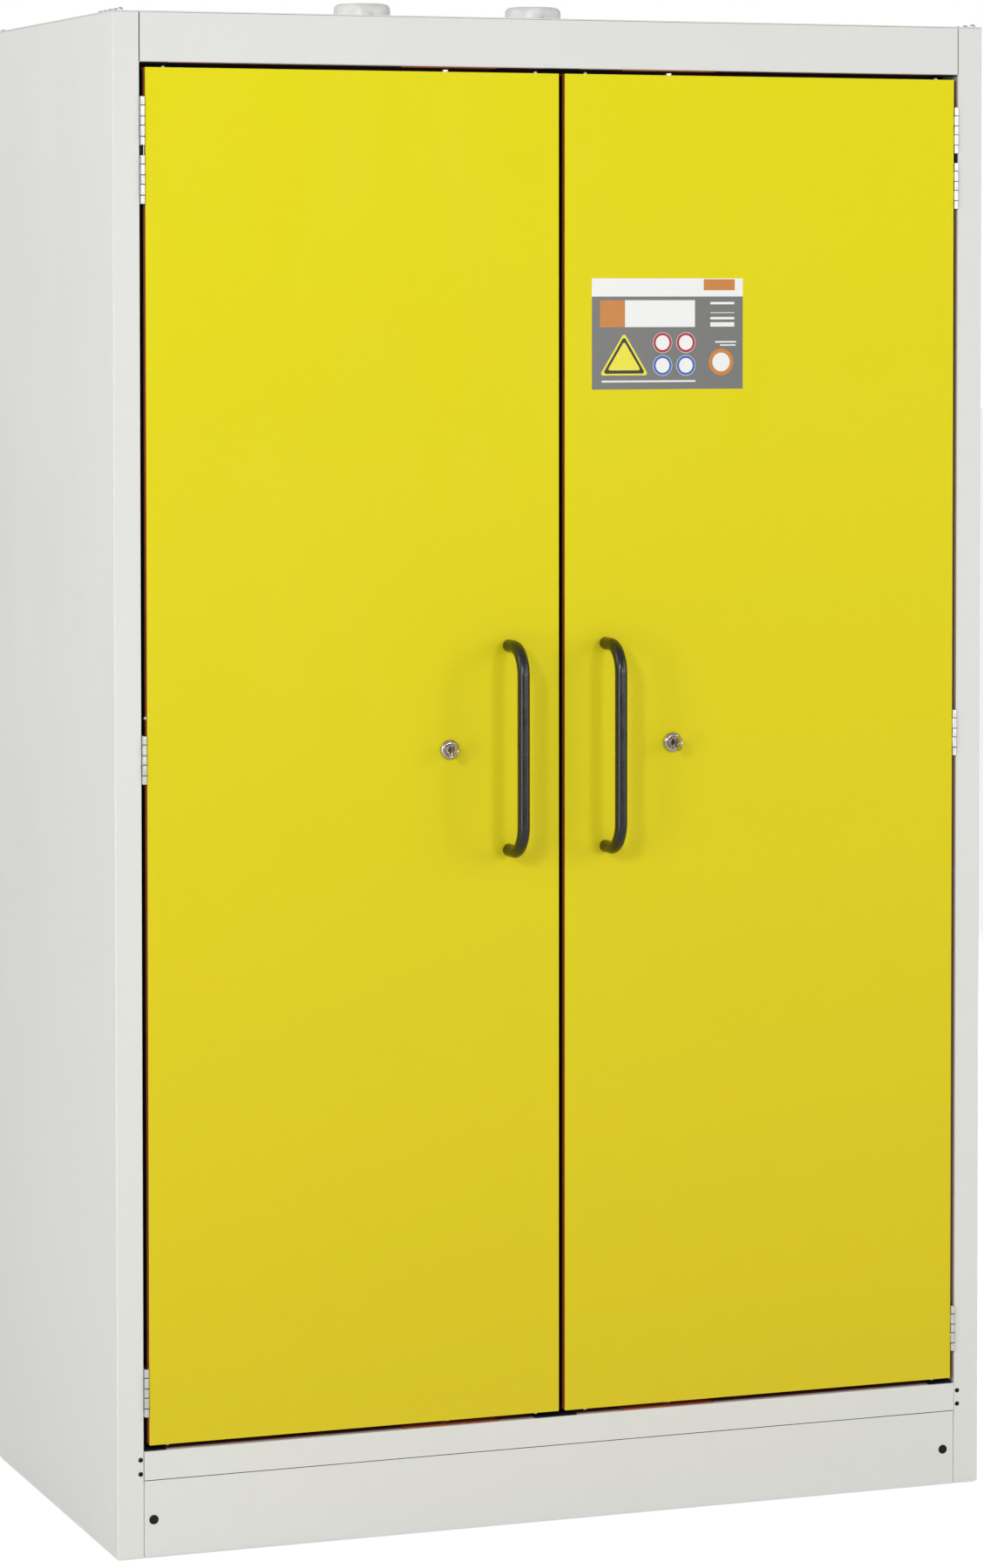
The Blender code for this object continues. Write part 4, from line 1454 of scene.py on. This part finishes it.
# ---- base ---------------------------------------------------------------------------------
@dataclass
class Base(SubAssembly):
    """The base frame and its four levelling feet."""

    pad_radius: float = 0.0240
    stem_radius: float = 0.0080
    thread_start: float = 0.0120
    thread_pitch: float = 0.00175
    thread_depth: float = 0.0008
    stem_chamfer: float = 0.0015
    nut_height: float = 0.0100
    nut_radius: float = 0.0135
    nut_chamfer: Pair = (0.0013, 0.001)
    nut_gap: float = 0.0003

    def build(self) -> None:
        """The frame, then each foot on its own body."""
        soft_piece("base_frame", "base_frame_bars", FRAME_COAT, HEAVY)
        for side in Side:
            for end in ("front", "rear"):
                self._foot(f"{side.word}_{end}_foot")

    def _foot(self, node: str) -> None:
        """A turned pad and threaded stem with a hexagonal lock nut under the frame.

        Args:
            node: The foot's CAD node.
        """
        low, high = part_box(node)
        centre = Vector(((low.x + high.x) / 2, (low.y + high.y) / 2, 0.0))
        r = self.pad_radius
        pad = [
            (0.0, 0.0), (r - 0.001, 0.0), (r, 0.001), (r, 0.0055), (r - 0.0015, 0.007),
            (0.0145, 0.0105), (0.0125, 0.0120), (0.0, 0.0120),
        ]
        root = self.stem_radius - self.thread_depth
        stem = [(0.0, 0.0100), (root, 0.0100)]
        for i in range(int((high.z - 0.014) / self.thread_pitch)):
            z = self.thread_start + i * self.thread_pitch
            stem += [(root, z), (self.stem_radius, z + self.thread_pitch / 2)]
        chamfer = self.stem_chamfer
        stem += [(root, high.z - chamfer), (root - chamfer, high.z), (0.0, high.z)]
        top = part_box("base_frame")[0].z - self.nut_gap
        foot = top - self.nut_height
        wide, (across, along) = self.nut_radius, self.nut_chamfer
        nut = [
            (0.0, foot), (wide - across, foot), (wide, foot + along), (wide, top - along),
            (wide - across, top), (0.0, top),
        ]
        meshes = [
            turned("pad", pad, centre, steps=48), turned("stem", stem, centre, steps=24),
            turned("nut", nut, centre, steps=6),
        ]
        mesh = joined(node + "_turned", meshes)
        Fitting(f"{node}_turned", f"{node}_body", (ZINC,), (node,)).mount(mesh)


# ---- doors --------------------------------------------------------------------------------
@dataclass
class Handle(SubAssembly):
    """A bar handle: two legs and the grip between them, bent from one round bar."""

    side: Side
    radius: float = 0.0080
    bend: float = 0.0360
    bend_steps: int = 14
    sides: int = 36
    sharp: float = 40.0

    def build(self) -> None:
        """Bend the bar along the CAD handle's middle line."""
        node = f"{self.side.word}_handle"
        low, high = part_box(node)
        x, r = (low.x + high.x) / 2, self.radius
        levels = (high.z - r, low.z + r)
        corners = [(x, high.y, levels[0])]
        corners += [(x, low.y + r, z) for z in levels]
        corners.append((x, high.y, levels[1]))
        start = bpy.data.meshes.new("middle line")
        start.from_pydata(corners, [(0, 1), (1, 2), (2, 3)], [])
        bar = BentBar().run(
            node + "_bar", start, Bar_Radius=r, Bend_Radius=self.bend, Bend_Steps=self.bend_steps,
            Sides=self.sides, Finish=BLACK_COAT.material(),
        )
        bar.shade_smooth()
        bar.set_sharp_from_angle(angle=math.radians(self.sharp))
        Fitting(f"{node}_bar", f"{self.side.word}_door", (BLACK_COAT,), (node,)).mount(bar)


@dataclass
class Lock(SubAssembly):
    """A cylinder lock with its key: rosette and case on the door, plug and key on their own body."""

    side: Side
    rosette_radius: float = 0.0130
    tube_radius: float = 0.0098
    tube_depth: float = 0.0060
    clearance: float = 0.0003
    case_depth: float = 0.0190
    case_rounding: float = 0.001
    cover: Size = (0.062, 0.106, 0.0012)
    cover_gap: float = 0.0001
    cover_rounding: float = 0.0005
    cover_screw_inset: float = 0.005
    plug_radius: float = 0.0072
    plug_length: float = 0.0150
    plug_sink: float = 0.0006
    keyway: Size = (0.0028, 0.0060, 0.0092)
    keyway_depth: float = 0.002
    key_thick: float = 0.0022
    key_rounding: float = 0.0004
    bow_radius: float = 0.0100
    ring_hole_radius: float = 0.0026
    ring_hole_share: float = 0.42
    blade_half: float = 0.0036
    blade_reach: float = 0.0035
    shoulder_half: float = 0.0044
    shoulder_span: Pair = (0.0012, 0.0030)
    cam_radius: float = 0.0125
    cam_depth: float = 0.0120
    cam_thick: float = 0.004

    @property
    def case(self) -> str:
        """The CAD node of the fixed part."""
        return f"{self.side.word}_lock_case"

    @property
    def key(self) -> str:
        """The CAD node of the turning part."""
        return f"{self.side.word}_lock_key"

    def axis(self, y: float) -> Vector:
        """The point of the lock's axis at a given y."""
        low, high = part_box(self.case)
        return Vector(((low.x + high.x) / 2, y, (low.z + high.z) / 2))

    def build(self) -> None:
        """The fixed part and then the turning part."""
        low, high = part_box(self.case)
        box = block("case", at(low.x, self.case_depth, low.z), high, self.case_rounding)
        mesh = joined(self.case + "_set", [self._rosette(), box, *self._cover()])
        body = f"{self.side.word}_door"
        Fitting(f"{self.case}_set", body, (NICKEL,), (self.case,)).mount(mesh)
        mesh = joined(self.key + "_set", [self._plug(), self._key(), self._cam()])
        body = f"{self.side.word}_key"
        Fitting(f"{self.key}_set", body, (NICKEL,), (self.key,)).mount(mesh)

    def _rosette(self) -> Mesh:
        """The bevelled ring round the plug, and its tube through the door's sheet.

        Returns:
            The ring; its heights grow towards the front from where it sits on the sheet.
        """
        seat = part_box(f"{self.side.word}_door_skin")[0].y - self.clearance
        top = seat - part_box(self.case)[0].y
        r, tube, deep = self.rosette_radius, self.tube_radius, -self.tube_depth
        hole = self.plug_radius + self.clearance
        profile = [
            (tube, deep), (tube, 0.0), (r - 0.0004, 0.0), (r, 0.0004), (r, 0.0016),
            (r - 0.0009, top * 0.72), (r - 0.0024, top - 0.0004), (r - 0.0034, top),
            (hole + 0.0009, top), (hole + 0.0004, top - 0.0003), (hole, top - 0.0009), (hole, deep),
        ]
        return turned("rosette", profile, self.axis(seat), Facing.FRONT, 64, ring=True)

    def _cover(self) -> list[Mesh]:
        """The plate over the case at the door's rear, with a screw in each corner.

        Returns:
            The plate and the screws.
        """
        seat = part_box(f"{self.side.word}_door_core")[1].y + self.cover_gap
        width, height, thick = self.cover
        half = Vector((width / 2, 0.0, height / 2))
        middle = self.axis(seat)
        low, high = middle - half, middle + half + Vector((0.0, thick, 0.0))
        inset = half - Vector((1.0, 0.0, 1.0)) * self.cover_screw_inset
        places = []
        for sx in (-1, 1):
            for sz in (-1, 1):
                corner = middle + Vector((sx * inset.x, thick, sz * inset.z))
                places.append((corner, Facing.REAR))
        screws = scatter("cover_screws", SMALL_SCREW.mesh(), places, NICKEL)
        return [block("cover", low, high, self.cover_rounding), screws]

    def _face(self) -> float:
        """The y of the plug's front face."""
        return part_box(self.case)[0].y + self.plug_sink

    def _plug(self) -> Mesh:
        """The round plug with its keyway.

        Returns:
            The plug; its heights grow towards the front from its own face.
        """
        face, r, deep = self._face(), self.plug_radius, -self.plug_length
        profile = [
            (0.0, deep), (r, deep), (r, -0.0006), (r - 0.0006, 0.0), (r * 0.62, 0.0),
            (r * 0.56, -0.0003), (0.0, -0.0003),
        ]
        plug = turned("plug", profile, self.axis(face), Facing.FRONT, 48)
        size = Vector(self.keyway)
        low = self.axis(face - self.keyway_depth) - Vector((size.x / 2, 0.0, size.z / 2))
        return cut_out(plug, block("keyway", low, low + size, SHARP))

    def _key(self) -> Mesh:
        """The key in its keyway, its round bow upright and pierced for a ring.

        Returns:
            The key.
        """
        thick, radius = self.key_thick, self.bow_radius
        bow = self.axis(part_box(self.key)[0].y + radius)
        upright = Matrix(((0, 0, 1), (1, 0, 0), (0, 1, 0))).to_4x4()
        place = Matrix.Translation(bow - Vector((thick / 2, 0.0, 0.0))) @ upright
        key = plate("bow", self._key_outline(self._face() - bow.y), thick, place)
        centre = self.axis(bow.y - radius * self.ring_hole_share)
        hole = drum("ring_hole", self.ring_hole_radius, -0.01, 0.01, centre, Facing.RIGHT, 20)
        return rounded(cut_out(key, hole), self.key_rounding)

    def _key_outline(self, blade_end: float) -> list[Pair]:
        """The key's outline, round the bow, the shoulder and the blade.

        Args:
            blade_end: How far the plug's face is from the bow's centre.

        Returns:
            (towards the door, up) points.
        """
        r, blade, shoulder = self.bow_radius, self.blade_half, self.shoulder_half
        near, far = (r + reach for reach in self.shoulder_span)
        end = blade_end + self.blade_reach
        below = [(near, -shoulder), (far, -shoulder), (far, -blade), (end, -blade)]
        above = [(u, -v) for u, v in reversed(below)]
        return arc((0.0, 0.0), r, 28, 332, 34) + below + above

    def _cam(self) -> Mesh:
        """The cam on the plug's rear end.

        Returns:
            A disc with a small chamfer.
        """
        r, thick = self.cam_radius, self.cam_thick
        profile = [(0, 0), (r - 0.0003, 0), (r, 0.0003), (r, thick), (0, thick)]
        return turned("cam", profile, self.axis(FRONT + self.cam_depth), Facing.REAR, 32)


def rounded(mesh: Mesh, radius: float, segments: int = 2) -> Mesh:
    """Break every sharp edge of a mesh.

    Args:
        mesh: The mesh.
        radius: How far its edges are rounded.
        segments: How many faces a rounding has.

    Returns:
        The rounded mesh.
    """
    obj = linked(mesh.name, mesh)
    bevel = obj.modifiers.new("rounding", "BEVEL")
    bevel.width = radius
    bevel.segments = segments
    bevel.limit_method = "ANGLE"
    bevel.angle_limit = math.radians(40)
    made = settled(obj)
    made.shade_smooth()
    made.set_sharp_from_angle(angle=math.radians(50))
    return made


@dataclass
class Door(SubAssembly):
    """One door: sheet, board, edge screws, handle, lock and rods; its half of the hinges is built by
    Hinges.
    """

    side: Side
    edge_screw_depth: float = 0.0046
    edge_screws: Pair = (0.0245, 0.0300)
    stop_screw_height: float = 1.064
    seal_depths: Pair = (0.0100, 0.0400)
    seal_thick: float = 0.00035
    seal_end: float = 0.0020
    sheet_softening: Softening = Softening(fold=0.0005, cut=0.0005)
    rod_softening: Softening = Softening(fold=0.0006, cut=0.0006, sharp=40)

    def build(self) -> None:
        """Sheet and board first, then what they carry."""
        word = self.side.word
        body = f"{word}_door"
        sheet = f"{word}_door_sheet"
        soft_piece(f"{word}_door_skin", sheet, YELLOW_PAINT, self.sheet_softening, body)
        self._board()
        self._edge_seals()
        self._edge_screws()
        Handle(self.side).build()
        Lock(self.side).build()
        for level in ("upper", "lower"):
            node = f"{word}_{level}_locking_rod"
            soft_piece(node, f"{node}_bar", ZINC, self.rod_softening, f"{word}_{level}_rod")

    def _board(self) -> None:
        """The fire board, red-brown at its edges and white faced at the rear."""
        node = f"{self.side.word}_door_core"
        mesh = BOARD.copy(node)
        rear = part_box(node)[1].y
        for face in mesh.polygons:
            if face.normal.y > 0.9 and face.center.y > rear - 0.001:
                face.material_index = 1
        name = f"{self.side.word}_door_board"
        Fitting(name, f"{self.side.word}_door", (BROWN_BOARD, WHITE_BOARD), (node,)).mount(mesh)

    def _edge_seals(self) -> None:
        """A thin black strip down each upright edge of the board, behind its front part."""
        low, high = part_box(f"{self.side.word}_door_core")
        near, far = (low.y + depth for depth in self.seal_depths)
        thick = self.seal_thick
        foot, head = low.z + self.seal_end, high.z - self.seal_end
        meshes = [
            block("edge_seal", Vector((x, near, foot)), Vector((x + thick, far, head)), SHARP)
            for x in (low.x - thick, high.x)
        ]
        name = f"{self.side.word}_door_edge_seals"
        Fitting(name, f"{self.side.word}_door", (RUBBER_AND_SHADE,)).mount(joined(name, meshes))

    def _edge_screws(self) -> None:
        """Bright heads in the door's top and bottom edges, close behind the sheet."""
        low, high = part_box(f"{self.side.word}_door_core")
        y = low.y + self.edge_screw_depth
        outer, inner = self.edge_screws
        sign = self.side.value
        edges = (low.x, high.x) if sign < 0 else (high.x, low.x)
        places = []
        for x in (edges[0] - sign * outer, edges[1] + sign * inner):
            places.append((Vector((x, y, high.z)), Facing.UP))
            places.append((Vector((x, y, low.z)), Facing.DOWN))
        if self.side is Side.LEFT:
            places.append((Vector((low.x, y, self.stop_screw_height)), Facing.LEFT))
        mesh = scatter(f"{self.side.word}_edge_screws", EDGE_SCREW.mesh(), places, ZINC, seed=5)
        Fitting(f"{self.side.word}_edge_screws", f"{self.side.word}_door", (ZINC,)).mount(mesh)


@dataclass
class Hinges(SubAssembly):
    """The butt hinges of one side: leaves, knuckles, pins and screws."""

    side: Side
    screw_depth: float = 0.0155
    screw_pitch: float = 0.0220
    screw_end: float = 0.008
    fewest_screws: int = 3
    knuckles: tuple[float, ...] = (0.0110, 0.0137, 0.0116, 0.0137, 0.0110)
    barrel_radius: float = 0.0030
    washer_proud: float = 0.00012
    washer_half: float = 0.00055
    shield_depths: Pair = (0.0004, 0.0030)
    softening: Softening = Softening(fold=0.0004, inside=0.0003, cut=0.0003)

    def build(self) -> None:
        """Each leaf on its own body, with its knuckles chamfered and its screws in place."""
        word = self.side.word
        ways = (Facing.RIGHT, Facing.LEFT)
        inward, outward = ways if self.side is Side.LEFT else ways[::-1]
        for level in ("top", "middle", "bottom"):
            for leaf, body, facing in (("frame", "root", inward), ("door", f"{word}_door", outward)):
                node = f"{word}_{level}_hinge_{leaf}_leaf"
                meshes = [self.softening.copy(node), self._screws(node, facing)]
                for mesh in meshes:
                    mesh.materials.clear()
                    mesh.materials.append(ZINC.material())
                # Painted shade: dark rings between the knuckles, and a dark block between the top
                # hinge's two barrels.
                if leaf == "frame":
                    meshes.append(self._washers(node, level))
                mesh = joined(node + "_formed", meshes)
                Fitting(f"{node}_formed", body, (ZINC, RUBBER_AND_SHADE), (node,)).mount(mesh)

    def _screws(self, node: str, facing: Facing) -> Mesh:
        """Countersunk screws down the middle of a leaf.

        Args:
            node: The leaf's CAD node.
            facing: The way that its open face points.

        Returns:
            The screws.
        """
        low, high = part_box(node)
        count = max(self.fewest_screws, round((high.z - low.z) / self.screw_pitch))
        face = at(self._face(node, facing), self.screw_depth, low.z + self.screw_end)
        span = high.z - low.z - 2 * self.screw_end
        places = [(face + Vector((0.0, 0.0, span * i / (count - 1))), facing) for i in range(count)]
        return scatter(node + "_screws", SMALL_SCREW.mesh(), places, ZINC, seed=7)

    def _washers(self, node: str, level: str) -> Mesh:
        """Thin dark rings of painted shade between the knuckles, and a dark block of painted shade
        where two barrels are close.

        Args:
            node: The frame leaf's CAD node.
            level: Where the hinge is; the one at the top has two barrels.

        Returns:
            The rings, with the block if there is one.
        """
        low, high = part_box(node)
        radius = self.barrel_radius
        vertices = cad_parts[node].data.vertices
        barrel = [v.co.x for v in vertices if v.co.y < low.y + radius]
        x = (min(barrel) + max(barrel)) / 2
        total = sum(self.knuckles)
        feet = (low.z, high.z - total) if level == "top" else (low.z,)
        places = []
        for z in feet:
            for height in self.knuckles[:-1]:
                z += height
                places.append((Vector((x, low.y + radius, z)), Facing.UP))
        half = self.washer_half
        # painted shade between the knuckles
        ring = drum("washer", radius + self.washer_proud, -half, half, Vector(), steps=16)
        knuckle_shades = scatter(node + "_washers", ring, places, RUBBER_AND_SHADE)
        if level != "top":
            return knuckle_shades
        near, far = self.shield_depths
        inner, outer = sorted((x, x + self.side.value * radius))
        ends = at(inner, near, low.z + total), at(outer, far, high.z - total)
        return joined(node + "_washers", [knuckle_shades, block("shield", *ends, SHARP)])

    def _face(self, node: str, facing: Facing) -> float:
        """Find a leaf's open face, behind the knuckles.

        Args:
            node: The leaf's CAD node.
            facing: The way that the face points.

        Returns:
            The face's x.
        """
        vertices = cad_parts[node].data.vertices
        xs = [v.co.x for v in vertices if v.co.y > FRONT + self.screw_depth]
        return max(xs) if facing is Facing.RIGHT else min(xs)


# ---- sticker ------------------------------------------------------------------------------
class Shape(Enum):
    """The outlines that are printed on the sticker."""

    BAR = "bar"
    DISC = "disc"
    TRIANGLE = "triangle"


@dataclass(frozen=True)
class Print:
    """One printed shape: its outline, ink, middle and size on the sticker, and its layer."""

    shape: Shape
    ink: str
    middle: Pair
    size: Pair
    layer: int
    disc_steps: int = 40
    corner_share: float = 0.045

    def outline(self) -> list[Pair]:
        """The shape's edge.

        Returns:
            Its (u, v) points, anticlockwise.
        """
        (u, v), (w, h) = self.middle, self.size
        if self.shape is Shape.DISC:
            last = self.disc_steps - 1
            return arc((u, v), w / 2, 0, 360 * last / self.disc_steps, last)
        if self.shape is Shape.TRIANGLE:
            r = w * self.corner_share
            low, side = r - h / 2, w / 2 - r
            points = []
            for angle, cu, cv in ((210, -side, low), (330, side, low), (90, 0.0, h / 2 - 2 * r)):
                points += arc((u + cu, v + cv), r, angle - 60, angle + 60, 5)
            return points
        corners = ((-1, -1), (1, -1), (1, 1), (-1, 1))
        return [(u + a * w / 2, v + b * h / 2) for a, b in corners]


@dataclass
class Sticker(SubAssembly):
    """A plain information sticker on the right door: fields, rings and bars without any lettering."""

    width: float = 0.2112
    height: float = 0.1440
    inset: float = 0.0372
    drop: float = 0.2632
    layer: float = 0.00006

    def prints(self) -> list[Print]:
        """Everything that is printed; places and sizes are shares of the sticker's own.

        Returns:
            The shapes, from the sticker's lower left corner, in the order they are printed.
        """
        fields = [
            (Shape.BAR, "white", (0.5, 0.5), (1.0, 1.0), 1),
            (Shape.BAR, "grey", (0.5, 0.418), (1.0, 0.836), 2),
            (Shape.BAR, "orange", (0.8425, 0.9425), (0.207, 0.099), 3),
            (Shape.BAR, "orange", (0.135, 0.682), (0.164, 0.242), 3),
            (Shape.BAR, "white", (0.449, 0.682), (0.463, 0.242), 3),
            (Shape.TRIANGLE, "yellow", (0.2115, 0.320), (0.302, 0.388), 3),
            (Shape.TRIANGLE, "black", (0.2115, 0.311), (0.262, 0.338), 4),
            (Shape.TRIANGLE, "yellow", (0.2115, 0.303), (0.205, 0.262), 5),
        ]
        for v, ink in ((0.420, "red"), (0.214, "blue")):
            for u in (0.4655, 0.620):
                fields += self._rings((u, v), 0.127, ((1.0, "white"), (0.96, ink), (0.71, "white")))
        fields += self._rings((0.855, 0.243), 0.166, ((1.0, "orange"), (0.70, "white")))
        for u, v, wide, high in (
            (0.863, 0.776, 0.160, 0.022), (0.863, 0.690, 0.160, 0.006),
            (0.863, 0.640, 0.160, 0.022), (0.863, 0.583, 0.160, 0.040),
            (0.885, 0.425, 0.140, 0.014), (0.900, 0.396, 0.105, 0.012),
            (0.374, 0.072, 0.620, 0.016),
        ):
            fields.append((Shape.BAR, "white", (u, v), (wide, high), 3))
        w, h = self.width, self.height
        return [
            Print(shape, ink, (w * u, h * v), (w * wide, h * high), layer)
            for shape, ink, (u, v), (wide, high), layer in fields
        ]

    def _rings(self, middle: Pair, size: float, inks: Sequence[tuple[float, str]]) -> list[tuple]:
        """Discs on one another, each smaller than the last.

        Args:
            middle: Their centre, as shares of the sticker.
            size: The largest one's diameter, as a share of the sticker's width.
            inks: Each one's share of that diameter, and its ink.

        Returns:
            What to print, for the discs from the lowest layer up.
        """
        round_up = self.width / self.height
        return [
            (Shape.DISC, ink, middle, (size * share, size * share * round_up), layer)
            for layer, (share, ink) in enumerate(inks, 3)
        ]

    def build(self) -> None:
        """Stack the printed shapes on the right door's sheet, each a hair proud of the last."""
        low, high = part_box("right_door_skin")
        corner = Vector((low.x + self.inset, low.y, high.z - self.drop - self.height))
        upright = Matrix.Rotation(math.pi / 2, 4, "X")
        inks = list(INKS)
        meshes = []
        numbers = []
        for item in self.prints():
            proud = Vector((0.0, (item.layer - 1) * self.layer, 0.0))
            place = Matrix.Translation(corner - proud) @ upright
            mesh = plate("print", item.outline(), self.layer, place)
            meshes.append(mesh)
            numbers += [inks.index(item.ink)] * len(mesh.polygons)
        mesh = joined("door_sticker", meshes)
        mesh.polygons.foreach_set("material_index", numbers)
        Fitting("door_sticker", "right_door", tuple(INKS.values())).mount(mesh)


# ---- studio -------------------------------------------------------------------------------
@dataclass
class Softbox:
    """A rectangular area light, aimed at a point."""

    name: str
    place: Vector
    aim: Vector
    size: Pair
    power: float

    def build(self) -> None:
        """Make the light."""
        data = bpy.data.lights.new(self.name, "AREA")
        data.shape = "RECTANGLE"
        data.size, data.size_y = self.size
        data.energy = self.power
        lamp = bpy.data.objects.new(self.name, data)
        lamp.location = self.place
        lamp.visible_camera = False
        lamp.rotation_euler = (self.aim - self.place).to_track_quat("-Z", "Y").to_euler()
        bpy.context.scene.collection.objects.link(lamp)


@dataclass
class Studio:
    """Pale floor, soft light and the camera."""

    lens: float = 114.9
    sensor: float = 36.0
    shift: Pair = (-0.0470, -0.1889)
    place: Vector = field(default_factory=lambda: Vector((-2.2799, -6.3109, 1.6050)))
    yaw: float = 20.711
    pitch: float = -2.298
    sight: float = 200.0
    floor_radius: float = 60.0
    floor_grey: float = 0.72
    floor_roughness: float = 0.8
    floor_lift: float = 0.60
    world_strength: float = 0.38

    def build(self) -> None:
        """Everything that isn't the cabinet."""
        self._floor()
        self._world()
        for box in self._lights():
            box.build()
        self._camera()
        bpy.context.scene.view_settings.view_transform = "Standard"

    def _floor(self) -> None:
        """A wide pale disc at floor level, lifted to white where it is seen directly."""
        bm = bmesh.new()
        bmesh.ops.create_circle(bm, cap_ends=True, segments=64, radius=self.floor_radius)
        floor = linked("studio_floor", finished_mesh(bm, "studio_floor", None))
        mat = bpy.data.materials.new("pale floor")
        mat.use_nodes = True
        shader = mat.node_tree.nodes["Principled BSDF"]
        shader.inputs["Base Color"].default_value = (*[self.floor_grey] * 3, 1.0)
        shader.inputs["Roughness"].default_value = self.floor_roughness
        shader.inputs["Emission Color"].default_value = (1.0, 1.0, 1.0, 1.0)
        nodes, links = mat.node_tree.nodes, mat.node_tree.links
        seen = nodes.new("ShaderNodeLightPath")
        lift = nodes.new("ShaderNodeMath")
        lift.operation = "MULTIPLY"
        lift.inputs[1].default_value = self.floor_lift
        links.new(seen.outputs["Is Camera Ray"], lift.inputs[0])
        links.new(lift.outputs[0], shader.inputs["Emission Strength"])
        floor.data.materials.append(mat)

    def _world(self) -> None:
        """An even white surround that shows plain white."""
        world = bpy.data.worlds.new("studio surround")
        world.use_nodes = True
        graph = Graph(world.node_tree)
        seen = graph.add("ShaderNodeLightPath")
        share = graph.add(
            "ShaderNodeMapRange",
            {0: seen.outputs["Is Camera Ray"], 1: 0.0, 2: 1.0, 3: self.world_strength, 4: 1.0},
        )
        light = graph.add("ShaderNodeBackground", {"Color": (1, 1, 1, 1), "Strength": share.outputs[0]})
        graph.add("ShaderNodeOutputWorld", {"Surface": light.outputs[0]})
        bpy.context.scene.world = world

    def _lights(self) -> list[Softbox]:
        """The lights: key and fill, two upright strips, and washes all round.

        Returns:
            The lights, not yet built.
        """
        aim = at(0.0, 0.0, 1.0)
        upper_side = Vector((-0.6, 0.1, 2.0))
        return [
            Softbox("key", Vector((-2.9, -4.0, 2.65)), aim, (0.5, 0.5), 45.0),
            Softbox("fill", Vector((1.35, -6.1, 1.75)), aim, (0.7, 0.7), 48.0),
            Softbox("left strip", Vector((-3.55, -2.6, 1.1)), aim, (0.9, 2.4), 30.0),
            Softbox("right strip", Vector((3.9, -3.2, 1.2)), aim, (0.30, 2.2), 16.0),
            Softbox("left wash", Vector((-4.3, 0.3, 3.5)), upper_side, (2.6, 2.6), 64.0),
            Softbox("right wash", Vector((4.2, -3.6, 2.6)), aim, (2.6, 2.6), 40.0),
            Softbox("rear wash", Vector((1.8, 4.8, 2.4)), aim, (2.0, 2.0), 85.0),
        ]

    def _camera(self) -> None:
        """A long lens, with the horizon held by shift."""
        data = bpy.data.cameras.new("camera")
        data.sensor_width = self.sensor
        data.lens = self.lens
        data.shift_x, data.shift_y = self.shift
        data.clip_end = self.sight
        camera = bpy.data.objects.new("camera", data)
        camera.location = self.place
        camera.rotation_euler = (math.radians(90 + self.pitch), 0.0, -math.radians(self.yaw))
        bpy.context.scene.collection.objects.link(camera)
        bpy.context.scene.camera = camera


def main() -> None:
    """Build every group in order, then the studio."""
    logging.basicConfig(level=logging.INFO, format="%(name)s: %(message)s")
    groups = [Housing(), RoofVents(), Interior(), Base()]
    for side in Side:
        groups += [Door(side), Hinges(side)]
    groups.append(Sticker())
    for group in groups:
        group.build()
    Studio().build()


if __name__ == "__main__":
    main()
